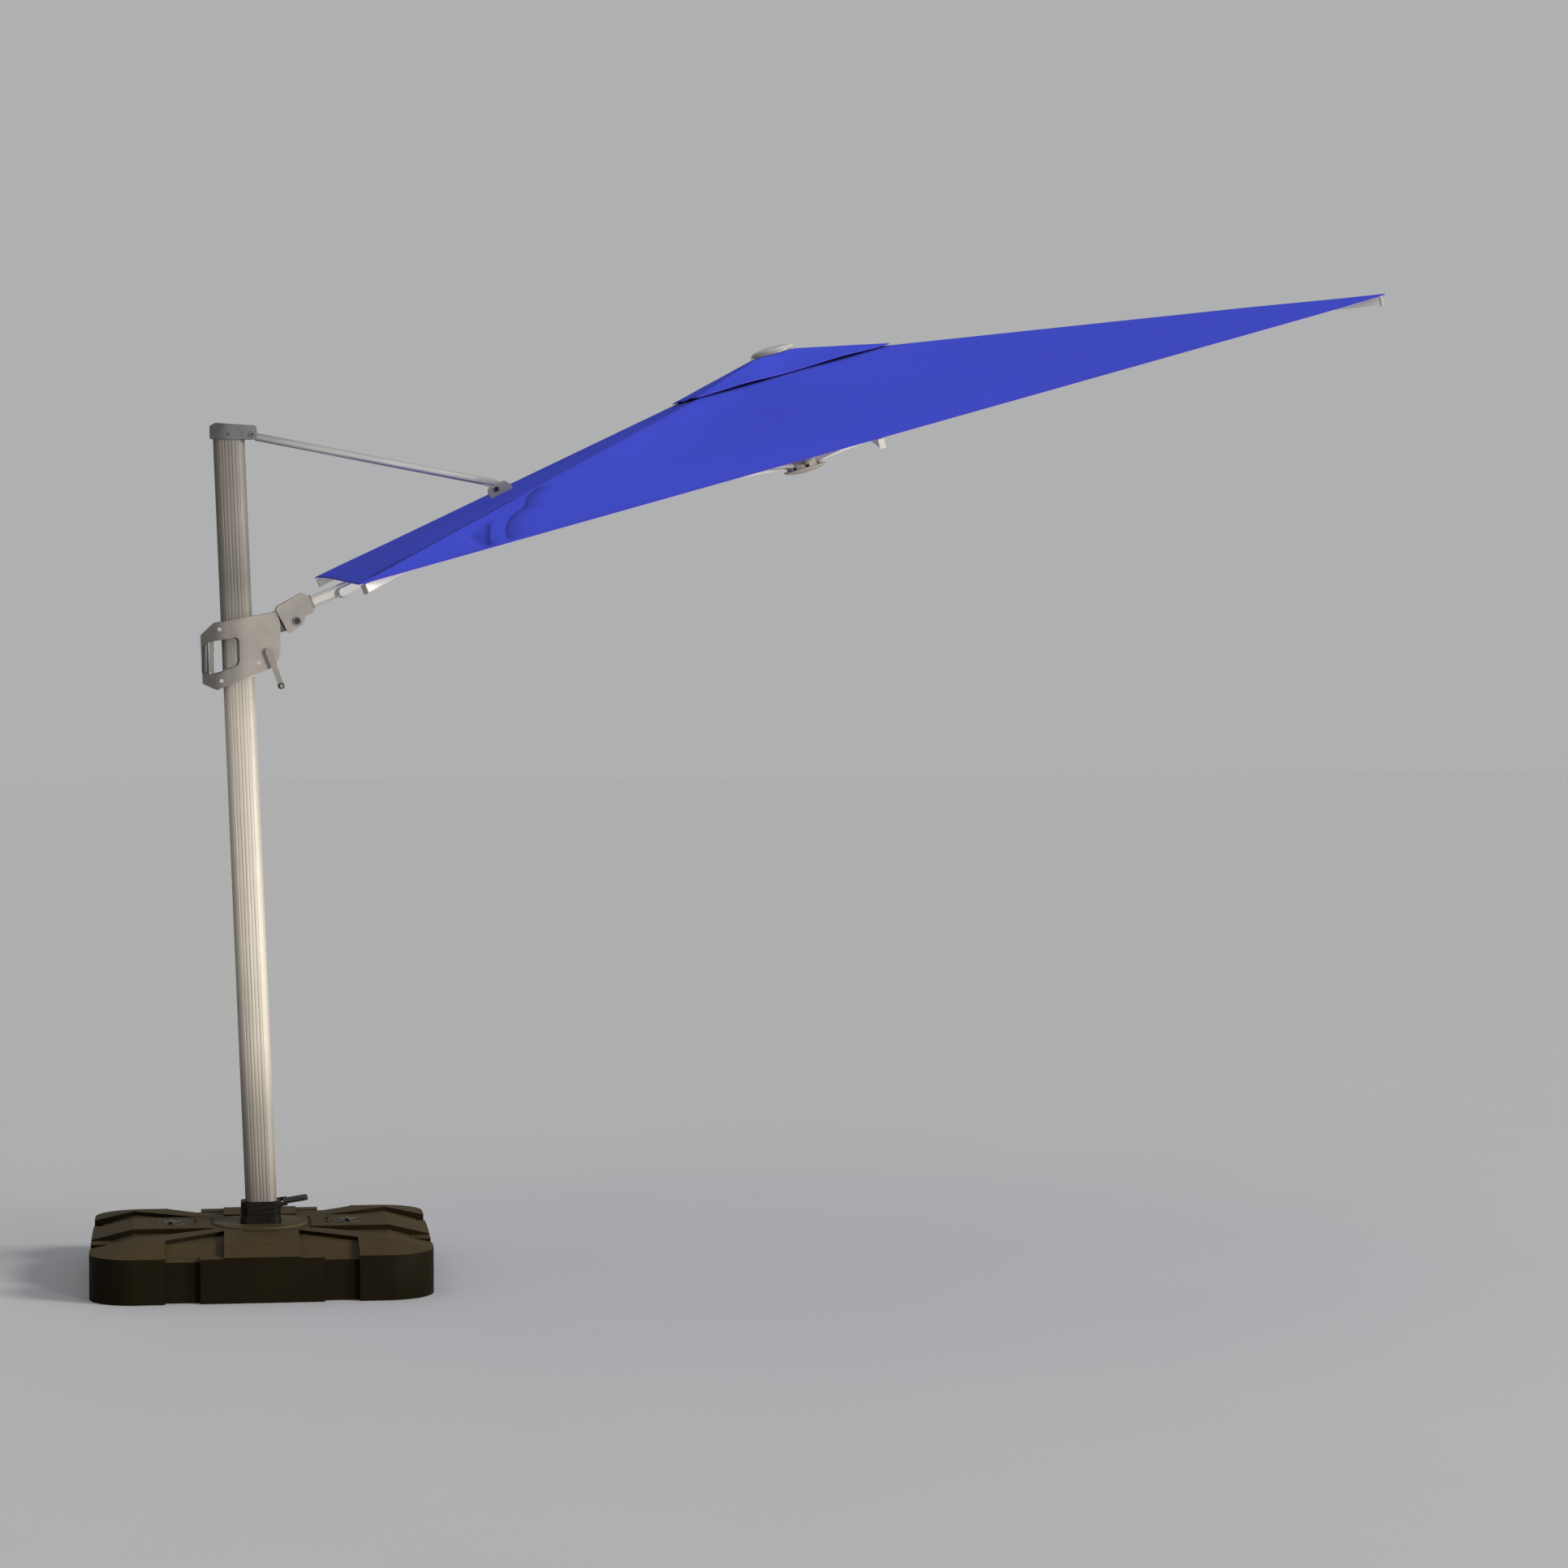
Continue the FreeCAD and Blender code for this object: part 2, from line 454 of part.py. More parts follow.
cosA = math.cos(math.radians(ARM_SLOPE))
AX0 = (ARM_X0 - ARM_P[0]) / cosA
AX1 = (ARM_X1 - ARM_P[0]) / cosA
head = head.cut(on_arm(arm_section(0.2, AX0 - 14, AX1)))
head = head.cut(cyl(BOLT_R + RUN, 200, V(PIV_B[0], -100, PIV_B[1]), V(0, 1, 0)))
put("arm_head", head)
arm = arm_section(0, AX0 - 13, AX1 - 1).cut(arm_section(-2.5, AX0 - 13, AX1))
put("arm_tube", on_arm(arm))
# clip ring where the arm leaves its head
CLIP_X = 8.5
clip = arm_section(2.6, CLIP_X, CLIP_X + 4.5).cut(arm_section(0.2, CLIP_X - 5, CLIP_X + 20))
clip = fuse([clip, box(CLIP_X + 0.5, CLIP_X + 4, -6, 6, ARM_H / 2 + 0.3, ARM_H / 2 + 4.6), box(CLIP_X + 0.5, CLIP_X + 4, -6, 6, -ARM_H / 2 - 4.6, -ARM_H / 2 - 0.3)])
put("arm_clip_ring", on_arm(clip))

# bracket for the stay: cheeks that rise through the slit in the canopy, saddle on the arm
LUG = [(708.1, 2417.8), (715.7, 2427.8), (733.2, 2436.5), (758.2, 2450.3), (773.2, 2441.6), (784.4, 2429.2), (800, 2366), (806, 2348), (744, 2322), (730, 2352), (722, 2392), (716, 2398)]
lug = plate_xz(LUG, [8, 6, 10, 14, 10, 8, 6, 4, 4, 20, 8, 8], 11, 15)
lugs2 = both(lug)
saddle = on_arm(box((744 - ARM_P[0]) / cosA - 4, (806 - ARM_P[0]) / cosA - 10, -19, 19, ARM_H / 2 + 0.2, ARM_H / 2 + 6.2))
web2 = plate_xz([(765, 2438), (776, 2431), (797, 2366), (789, 2360)], [4, 4, 3, 3], -11, 11)
lugall = fuse(lugs2 + [saddle, web2])
lugall = lugall.cut(on_arm(arm_section(0.2, AX0, AX1)))
put("stay_bracket", lugall)
heads = []
for sy in (1, -1):
    y0 = 15 if sy > 0 else -19
    h = cyl(7.5, 4, V(PIV_C[0], y0, PIV_C[1]), V(0, 1, 0))
    h = h.cut(cyl(3.5, 2.2, V(PIV_C[0], 17 if sy > 0 else -19.2, PIV_C[1]), V(0, 1, 0)))
    heads.append(h)
put("stay_bracket_bolt", heads)

# ---------------------------------------------------------------- stay
# the tube's axis passes a little below its upper pivot and above its lower one
STAY_LOW, STAY_HIGH = 3.7, 17.2
_l = math.hypot(PIV_C[0] - PIV_A[0], PIV_C[1] - PIV_A[1])
_nx, _nz = -(PIV_C[1] - PIV_A[1]) / _l, (PIV_C[0] - PIV_A[0]) / _l
sx0, sz0 = PIV_A[0] - STAY_LOW * _nx, PIV_A[1] - STAY_LOW * _nz
sx1, sz1 = PIV_C[0] + STAY_HIGH * _nx, PIV_C[1] + STAY_HIGH * _nz
SL_LEN = math.hypot(sx1 - sx0, sz1 - sz0)
SL_ANG = math.degrees(math.atan2(sz1 - sz0, sx1 - sx0))


def stay_local(px, pz):
    c, n = math.cos(math.radians(SL_ANG)), math.sin(math.radians(SL_ANG))
    return (px - sx0) * c + (pz - sz0) * n, (pz - sz0) * c - (px - sx0) * n


AX, AZ = stay_local(*PIV_A)                                                      # upper pivot in the stay's own frame
CX, CZ = stay_local(*PIV_C)                                                      # lower pivot in the stay's own frame


def on_stay(s):
    s = s.copy()
    s.rotate(V(0, 0, 0), V(0, 1, 0), -SL_ANG)
    s.translate(V(sx0, 0, sz0))
    return s


def stay_section(hh, hw, r, x0, x1):
    w = rrect(hh, hw, r, 0)
    s = Part.Face(w).extrude(V(0, 0, x1 - x0))
    s.rotate(V(0, 0, 0), V(0, 1, 0), 90)
    s.translate(V(x0, 0, 0))
    return s


def stay_taper(a, b, x0, x1):
    w0, w1 = rrect(a[0], a[1], a[2], 0), rrect(b[0], b[1], b[2], x1 - x0)
    s = Part.makeLoft([w0, w1], True, True)
    s.rotate(V(0, 0, 0), V(0, 1, 0), 90)
    s.translate(V(x0, 0, 0))
    return s


# the lower end narrows over TAPER and is narrow for its last SLIM_END, so that it swings down between the bracket's
# cheeks in mid travel
SLIM_END, TAPER = 132.0, 64.0
stay = stay_section(12, 15, 9, 13.5, SL_LEN - SLIM_END).cut(stay_section(10, 13, 7, 13.5, SL_LEN - SLIM_END))
put("stay_tube", on_stay(stay))
up = fuse([stay_section(9.8, 12.8, 6.8, 13.5, 48), box(0, 13.5, -12, 12, -9.5, 9.5), cyl(10, 24, V(AX, -12, AZ), V(0, 1, 0))])
up = up.cut(cyl(4.2 + RUN, 60, V(AX, -30, AZ), V(0, 1, 0)))
dn = fuse([stay_section(9.8, 12.8, 6.8, SL_LEN - SLIM_END - 28, SL_LEN - SLIM_END + 1), stay_taper((12, 15, 9), (12, 8.5, 8.4), SL_LEN - SLIM_END + 0.2, SL_LEN - SLIM_END + TAPER),
           stay_section(12, 8.5, 8.4, SL_LEN - SLIM_END + TAPER, SL_LEN - 4),
           plate_xz([(SL_LEN - 42, -11.5), (SL_LEN - 8.5, -20), (SL_LEN + 8.5, -20), (SL_LEN + 8, 3), (SL_LEN + 2, 8.5), (SL_LEN - 20, 8.5)], [0, 3, 3, 6, 5, 0], -6.5, 6.5),
           cyl(9, 13, V(CX, -6.5, CZ), V(0, 1, 0))])
put("stay_end_fittings", [on_stay(up), on_stay(dn)])

# ---------------------------------------------------------------- hub, cap and post
HUB_T0, HUB_T1 = 248.0, 290.0
AZ = [0, 45, 90, 135, 180, 225, 270, 315]


def radial(s, az):
    s = s.copy()
    s.rotate(V(0, 0, 0), V(0, 0, 1), az)
    return s


hub = cyl(66, HUB_T1 - HUB_T0, V(0, 0, HUB_T0))
for az in AZ:
    w = 18.0
    slot = box(38, 80, -w / 2, w / 2, HUB_T0 - 1, HUB_T1 - 5)
    hub = hub.cut(radial(slot, az))
pins = []
for i, az in enumerate(AZ):
    pt = MID_PT if i % 2 == 0 else COR_PT
    p = cyl(3.0, 30, V(HUB_R, -15, pt), V(0, 1, 0))
    hub = hub.cut(radial(p, az))
    pins.append(on_canopy(radial(p, az)))
put("top_hub", on_canopy(hub))
put("rib_pins", pins)
POST_R = 22.0
post = cyl(POST_R, HUB_T0 + 22.0, V(0, 0, -22.0)).cut(cyl(POST_R - 3, HUB_T0 + 22.0, V(0, 0, -22.0)))
post_w = on_canopy(post)
put("hub_post", post_w)
# clamp that joins the arm's end to the post
clampb = fuse([on_canopy(cyl(POST_R + 8, 62, V(0, 0, 112))), on_arm(arm_section(2.6, AX1 - 70, AX1 + 4))])
clampb = clampb.cut(on_canopy(cyl(POST_R, 400, V(0, 0, -50)))).cut(on_arm(arm_section(0.2, AX0, AX1 + 0.2)))
clampb = max(clampb.Solids, key=lambda s: s.Volume)
put("post_clamp", clampb)
# finial
def turned(edges):
    return Part.Face(Part.Wire(edges)).revolve(V(0, 0, 0), V(0, 0, 1), 360)


def seg(a, b):
    return Part.LineSegment(V(a[0], 0, a[1]), V(b[0], 0, b[1])).toShape()


def arc(a, m, b):
    return Part.Arc(V(a[0], 0, a[1]), V(m[0], 0, m[1]), V(b[0], 0, b[1])).toShape()


fin = turned([seg((0, 305.5), (70.6, 305.5)), seg((70.6, 305.5), (68.5, 314)), seg((68.5, 314), (62.5, 319.6)),
              arc((62.5, 319.6), (34, 325.2), (6, 327.2)), seg((6, 327.2), (0, 327.2)), seg((0, 327.2), (0, 305.5))])
fin = fuse([fin, cyl(60, 305.5 - HUB_T1, V(0, 0, HUB_T1))])
put("finial_cap", on_canopy(fin))

# lower hub (runner)
dish = turned([seg((0, -61), (66.6, -61)), seg((66.6, -61), (68, -62.2)), seg((68, -62.2), (66.6, -64.4)),
               arc((66.6, -64.4), (62.2, -67.6), (55, -70.4)), arc((55, -70.4), (30, -75.0), (8, -77)),
               seg((8, -77), (0, -77)), seg((0, -77), (0, -61))])
rn = fuse([cyl(56, 31, V(0, 0, -61)), dish])
for i, az in enumerate(AZ):
    rn = rn.cut(radial(box(36, 80, -7.5, 7.5, -61, -20), az))
rn = rn.cut(cyl(20, 40, V(0, 0, -58)))
put("lower_hub", on_canopy(rn))


# ---------------------------------------------------------------- ribs and struts
def rib_place(s, slope, pt, az):
    """From rib frame (x along the rib from its pivot, z square to it) to world."""
    s = s.copy()
    s.rotate(V(0, 0, 0), V(0, 1, 0), slope)      # down towards the tip
    s.translate(V(HUB_R, 0, pt))
    s.rotate(V(0, 0, 0), V(0, 0, 1), az)
    return on_canopy(s)


def bar_x(x0, x1, hy, hz, r, y=0.0):
    """Bar along x with a rounded rectangular section."""
    s = Part.Face(rrect(hz, hy, r, 0)).extrude(V(0, 0, x1 - x0))
    s.rotate(V(0, 0, 0), V(0, 1, 0), 90)
    s.translate(V(x0, y, 0))
    return s


def rib(slope, pt, L, length, az, name):
    h, w, t = RIB_H / 2, RIB_W / 2, RIB_T
    tube = bar_x(10, length, w, h, 3.0).cut(box(30, length, -w + t, w - t, -h + t, h - t))
    root = cyl(h, 2 * w, V(0, -w, 0), V(0, 1, 0)).fuse(box(0, 14, -w, w, -h, h))
    tube = fuse([tube, root]).cut(cyl(3.0 + RUN, 60, V(0, -30, 0), V(0, 1, 0)))
    cap_ = fuse([box(length, length + 3.5, -w - 0.6, w + 0.6, -h - 0.6, h - 1.5), box(length - 14, length, -w + t, w - t, -h + t, h - t)])
    br = [box(L - 15, L + 15, sy * (w + 1.35) - 1.35, sy * (w + 1.35) + 1.35, -K_OFF - 9, h - 4) for sy in (1, -1)]
    pin = cyl(3.0, 2 * w + 8, V(L, -w - 4, -K_OFF), V(0, 1, 0))
    bracket = fuse(br + [pin])
    put(name, [rib_place(tube, slope, pt, az), rib_place(bracket, slope, pt, az)])
    put(name + "_tip", rib_place(cap_, slope, pt, az))


def strut_pts(slope, pt, L):
    a = math.radians(slope)
    K = (HUB_R + L * math.cos(a) - K_OFF * math.sin(a), pt - L * math.sin(a) - K_OFF * math.cos(a))
    ang = math.degrees(math.atan2(K[1] - RUN_T, K[0] - RUN_R))
    ln = math.hypot(K[1] - RUN_T, K[0] - RUN_R)
    return K, ang, ln


def strut_place(s, ang, az):
    s = s.copy()
    s.rotate(V(0, 0, 0), V(0, 1, 0), -ang)
    s.translate(V(RUN_R, 0, RUN_T))
    s.rotate(V(0, 0, 0), V(0, 0, 1), az)
    return on_canopy(s)


def strut(slope, pt, L, az, name):
    K, ang, ln = strut_pts(slope, pt, L)
    s = fuse([box(0, ln, -5, 5, -7.5, 7.5), cyl(7.5, 10, V(0, -5, 0), V(0, 1, 0)), cyl(7.5, 10, V(ln, -5, 0), V(0, 1, 0))])
    s = s.cut(box(20, ln - 20, -3.6, 3.6, -6.1, 6.1))
    s = s.cut(cyl(3.0 + RUN, 60, V(ln, -30, 0), V(0, 1, 0)))
    put(name, strut_place(s, ang, az))


NAMES = {0: "outer", 45: "far_outer", 90: "far", 135: "far_mast", 225: "near_mast", 270: "near", 315: "near_outer"}
for az, nm in NAMES.items():
    corner = az % 90 != 0
    slope, pt, L, length = (COR_SLOPE, COR_PT, COR_L, COR_LEN) if corner else (MID_SLOPE, MID_PT, MID_L, MID_LEN)
    rib(slope, pt, L, length, az, "rib_" + nm)
    strut(slope, pt, L, az, "strut_" + nm)

# mast-side rib and strut: forked, so that they pass either side of the arm.
# The fork's bars run a little lower than the other ribs.
RB0, RB1 = 24.0, 32.0
FORK_DROP = 0.93
FORK_END = 1462.0
h = RIB_H / 2


def drop(s):
    s = s.copy()
    s.rotate(V(60, 0, 0), V(0, 1, 0), FORK_DROP)
    return s


root = fuse([cyl(h, RIB_W, V(0, -RIB_W / 2, 0), V(0, 1, 0)), box(0, 56, -RIB_W / 2, RIB_W / 2, -h, h)])
yoke = box(56, 80, -RB1, RB1, -h, h)
root = root.cut(cyl(3.0 + RUN, 60, V(0, -30, 0), V(0, 1, 0)))
bars, tips = [], []
for sy in (1, -1):
    y0, y1 = (RB0, RB1) if sy > 0 else (-RB1, -RB0)
    ym = (y0 + y1) / 2
    bar = fuse([drop(bar_x(80, FORK_END, (y1 - y0) / 2, h, 2.0, ym)), drop(cyl(h, y1 - y0, V(FORK_END, y0, 0), V(0, 1, 0))),
                cyl(3.0, 14.0, V(MID_L, RB0 + 2 if sy > 0 else -RB1 - 8, -K_OFF), V(0, 1, 0))])
    bars.append(bar.cut(yoke))
    nose = fuse([cyl(h + 1.5, 9.4, V(FORK_END + 7, ym - 4.7, 0), V(0, 1, 0)), box(FORK_END - 4, FORK_END + 7, ym - 4.7, ym + 4.7, -h - 1.5, h + 1.5)])
    nose = nose.cut(bar_x(1300, FORK_END, 4.0, h, 2.0, ym)).cut(cyl(h, 20, V(FORK_END, ym - 10, 0), V(0, 1, 0)))
    nose = nose.cut(box(FORK_END - 10, FORK_END + 4, ym - 4.0, ym + 4.0, -h, h))
    nose = nose.cut(cyl(3.2, 30, V(FORK_END + 17, ym - 15, 4), V(0, 1, 0)))
    tips.append(drop(max(nose.Solids, key=lambda q: q.Volume)))
put("rib_mast", [rib_place(q, MID_SLOPE, MID_PT, 180) for q in [root, yoke] + bars])
put("rib_mast_tip", [rib_place(t, MID_SLOPE, MID_PT, 180) for t in tips])
K, ang, ln = strut_pts(MID_SLOPE, MID_PT, MID_L)
sr = [fuse([cyl(7.5, 10, V(0, -5, 0), V(0, 1, 0)), box(0, 58, -5, 5, -7.5, 7.5)]), box(58, 80, -39, 39, -7.5, 7.5)]
for sy in (1, -1):
    y0 = 33.5 if sy > 0 else -39
    leg = fuse([box(80, ln, y0, y0 + 5.5, -7.5, 7.5), cyl(7.5, 5.5, V(ln, y0, 0), V(0, 1, 0))])
    sr.append(leg.cut(cyl(3.0 + RUN, 120, V(ln, -60, 0), V(0, 1, 0))))
put("strut_mast", [strut_place(q, ang, 180) for q in sr])

# ---------------------------------------------------------------- canopy and vent flap (simple closed shells)
def pyramid(half_out, t_out, half_in, t_in, thick):
    parts = []
    for k in range(4):
        pts = [(half_out, -half_out, t_out), (half_out, half_out, t_out), (half_in, half_in, t_in), (half_in, -half_in, t_in)]
        f = Part.Face(wire(pts))
        s = f.extrude(V(0, 0, -thick))
        s.rotate(V(0, 0, 0), V(0, 0, 1), 90 * k)
        parts.append(s)
    s = parts[0]
    for q in parts[1:]:
        s = s.fuse(q)
    return s


can = pyramid(CAN_HALF, 0.0, HOLE_HALF, CAN_RISE * (CAN_HALF - HOLE_HALF), CAN_T)
can = can.cut(box(-1010, -880, -22, 22, 0, 400))
put("canopy_cover", on_canopy(can))
vent = pyramid(VENT_HALF, VENT_LOW, 62.0, VENT_HIGH, CAN_T)
put("vent_flap", on_canopy(vent))

print("nodes", len(nodes))
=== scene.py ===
import bpy
import math
import numpy as np
from mathutils import Matrix, Vector


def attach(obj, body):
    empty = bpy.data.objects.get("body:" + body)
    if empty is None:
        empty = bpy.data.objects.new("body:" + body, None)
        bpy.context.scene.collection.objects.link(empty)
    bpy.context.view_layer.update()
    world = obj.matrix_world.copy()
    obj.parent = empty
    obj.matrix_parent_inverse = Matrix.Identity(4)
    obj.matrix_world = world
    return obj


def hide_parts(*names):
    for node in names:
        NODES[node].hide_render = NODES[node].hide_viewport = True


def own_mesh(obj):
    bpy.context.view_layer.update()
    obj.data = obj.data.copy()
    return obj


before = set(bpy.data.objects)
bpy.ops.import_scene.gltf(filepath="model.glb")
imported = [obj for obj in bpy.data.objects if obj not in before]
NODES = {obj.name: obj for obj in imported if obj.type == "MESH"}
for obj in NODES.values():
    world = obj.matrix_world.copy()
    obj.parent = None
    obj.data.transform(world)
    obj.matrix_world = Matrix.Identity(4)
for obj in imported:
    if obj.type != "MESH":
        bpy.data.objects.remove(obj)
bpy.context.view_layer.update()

# ------------------------------------------------------------------ shared geometry (metres, row frame)
TILT = math.radians(15.762)
U = np.array([math.cos(TILT), 0.0, math.sin(TILT)])
W = np.array([0.0, 1.0, 0.0])
N = np.array([-math.sin(TILT), 0.0, math.cos(TILT)])
CC = np.array([1.6803, 0.0, 2.5509])
RISE = 0.1953
HALF = 1.5
HOLE = 0.150
LEAN = math.radians(2.06)
ARM = math.radians(22.7)
MAST_DIR = (-math.sin(LEAN), 0.0, math.cos(LEAN))
ARM_DIR = (math.cos(ARM), 0.0, math.sin(ARM))
STAY_DIR = Vector((0.7483, 0.0, -0.1639)).normalized()
GORES = {0: "outer", 45: "far_outer", 90: "far", 135: "far_mast", 180: "mast", 225: "near_mast", 270: "near", 315: "near_outer"}


def can(u, v, t):
    """Canopy frame to row frame; u, v, t are arrays."""
    return CC + np.outer(u, U) + np.outer(v, W) + np.outer(t, N)


# ------------------------------------------------------------------ node helpers
def material(name, viewport):
    m = bpy.data.materials.new(name)
    m.use_nodes = True
    m.diffuse_color = (*viewport, 1)
    nt = m.node_tree
    nt.nodes.clear()
    out = nt.nodes.new("ShaderNodeOutputMaterial")
    b = nt.nodes.new("ShaderNodeBsdfPrincipled")
    nt.links.new(b.outputs["BSDF"], out.inputs["Surface"])
    return m, nt, b, out


def node(nt, kind, **values):
    n = nt.nodes.new(kind)
    for k, v in values.items():
        setattr(n, k, v)
    return n


def link(nt, a, b):
    nt.links.new(a, b)


def math_node(nt, op, a, b=None, c=None, clamp=False):
    n = node(nt, "ShaderNodeMath", operation=op, use_clamp=clamp)
    for i, x in enumerate((a, b, c)):
        if x is None:
            continue
        if isinstance(x, (int, float)):
            n.inputs[i].default_value = x
        else:
            link(nt, x, n.inputs[i])
    return n.outputs[0]


def noise(nt, vec, scale, detail=3.0, rough=0.55, dist=0.0):
    n = node(nt, "ShaderNodeTexNoise")
    n.inputs["Scale"].default_value = scale
    n.inputs["Detail"].default_value = detail
    n.inputs["Roughness"].default_value = rough
    n.inputs["Distortion"].default_value = dist
    link(nt, vec, n.inputs["Vector"])
    return n.outputs["Fac"]


def remap(nt, x, a, b, c, d, smooth=False):
    n = node(nt, "ShaderNodeMapRange", clamp=True)
    if smooth:
        n.interpolation_type = "SMOOTHSTEP"
    for i, v in enumerate((a, b, c, d)):
        n.inputs[i + 1].default_value = v
    link(nt, x, n.inputs[0])
    return n.outputs[0]


def mix(nt, fac, a, b, mode="MIX"):
    n = node(nt, "ShaderNodeMix", data_type="RGBA", blend_type=mode)
    for sock, x in ((n.inputs[0], fac), (n.inputs[6], a), (n.inputs[7], b)):
        if isinstance(x, (int, float)):
            sock.default_value = x
        elif isinstance(x, (tuple, list)):
            sock.default_value = (*x, 1) if len(x) == 3 else x
        else:
            link(nt, x, sock)
    return n.outputs[2]


def shade(c, k):
    return tuple(min(1.0, max(0.0, x * k)) for x in c)


def bump(nt, height, strength, distance, chain=None):
    n = node(nt, "ShaderNodeBump")
    n.inputs["Strength"].default_value = strength
    n.inputs["Distance"].default_value = distance
    link(nt, height, n.inputs["Height"])
    if chain is not None:
        link(nt, chain, n.inputs["Normal"])
    return n.outputs["Normal"]


def painted_shade_along(nt, c, axis, table):
    """Painted shade and light: multiply a colour by a factor that changes slowly along an object axis, or along a given
    direction.
    """
    if isinstance(axis, str):
        sep = node(nt, "ShaderNodeSeparateXYZ")
        link(nt, object_vec(nt), sep.inputs[0])
        along = sep.outputs[axis]
    else:
        dot = node(nt, "ShaderNodeVectorMath")
        dot.operation = "DOT_PRODUCT"
        link(nt, object_vec(nt), dot.inputs[0])
        dot.inputs[1].default_value = axis
        along = dot.outputs["Value"]
    lo, hi = table[0][0], table[-1][0]
    f = remap(nt, along, lo, hi, 0, 1)
    r = node(nt, "ShaderNodeValToRGB")
    r.color_ramp.interpolation = "EASE"
    while len(r.color_ramp.elements) < len(table):
        r.color_ramp.elements.new(0.5)
    for i, (x, k) in enumerate(table):
        r.color_ramp.elements[i].position = i / (len(table) - 1)
    for i, (x, k) in enumerate(table):
        r.color_ramp.elements[i].position = (x - lo) / (hi - lo)
        r.color_ramp.elements[i].color = (k, k, k, 1)
    link(nt, f, r.inputs[0])
    return mix(nt, 1.0, c, r.outputs[0], "MULTIPLY")


def object_vec(nt):
    return node(nt, "ShaderNodeTexCoord").outputs["Object"]


def along_vec(nt, direction, fine, slow):
    """Object position with the part along direction slowed down, so noise becomes streaks."""
    p = object_vec(nt)
    d = Vector(direction).normalized()
    dot = node(nt, "ShaderNodeVectorMath", operation="DOT_PRODUCT")
    link(nt, p, dot.inputs[0])
    dot.inputs[1].default_value = d
    lon = node(nt, "ShaderNodeVectorMath", operation="SCALE")
    lon.inputs[0].default_value = d
    link(nt, dot.outputs["Value"], lon.inputs["Scale"])
    perp = node(nt, "ShaderNodeVectorMath", operation="SUBTRACT")
    link(nt, p, perp.inputs[0])
    link(nt, lon.outputs[0], perp.inputs[1])
    a = node(nt, "ShaderNodeVectorMath", operation="SCALE")
    link(nt, perp.outputs[0], a.inputs[0])
    a.inputs["Scale"].default_value = fine
    b = node(nt, "ShaderNodeVectorMath", operation="SCALE")
    link(nt, lon.outputs[0], b.inputs[0])
    b.inputs["Scale"].default_value = slow
    s = node(nt, "ShaderNodeVectorMath", operation="ADD")
    link(nt, a.outputs[0], s.inputs[0])
    link(nt, b.outputs[0], s.inputs[1])
    return s.outputs[0]


# ------------------------------------------------------------------ materials
def anodised(name, direction, col, rough=0.36, metal=0.75, painted_shade_ramp=None, band=0.09):
    """Champagne anodised extrusion: long die lines, faint mottling, finger marks in the gloss."""
    m, nt, b, out = material(name, col)
    p = object_vec(nt)
    streak = noise(nt, along_vec(nt, direction, 900.0, 6.0), 1.0, 2.0)
    broad = noise(nt, along_vec(nt, direction, 60.0, 0.8), 1.0, 2.0)
    mottle = noise(nt, p, 9.0, 4.0)
    c = mix(nt, remap(nt, broad, 0.35, 0.65, 0, 1), shade(col, 1 - band), shade(col, 1 + band))
    c = mix(nt, remap(nt, mottle, 0.3, 0.7, 0, 0.35), c, shade(col, 0.80))
    c = mix(nt, remap(nt, streak, 0.45, 0.75, 0, 0.25), c, shade(col, 1.15))
    # painted shade: a slow darkening along an axis, where less light falls
    if painted_shade_ramp:
        c = painted_shade_along(nt, c, *painted_shade_ramp)
    link(nt, c, b.inputs["Base Color"])
    b.inputs["Metallic"].default_value = metal
    r = remap(nt, mottle, 0.3, 0.75, rough - 0.05, rough + 0.10)
    r = math_node(nt, "ADD", r, remap(nt, streak, 0.3, 0.7, -0.04, 0.05))
    link(nt, r, b.inputs["Roughness"])
    link(nt, bump(nt, streak, 0.22, 0.0002), b.inputs["Normal"])
    return m


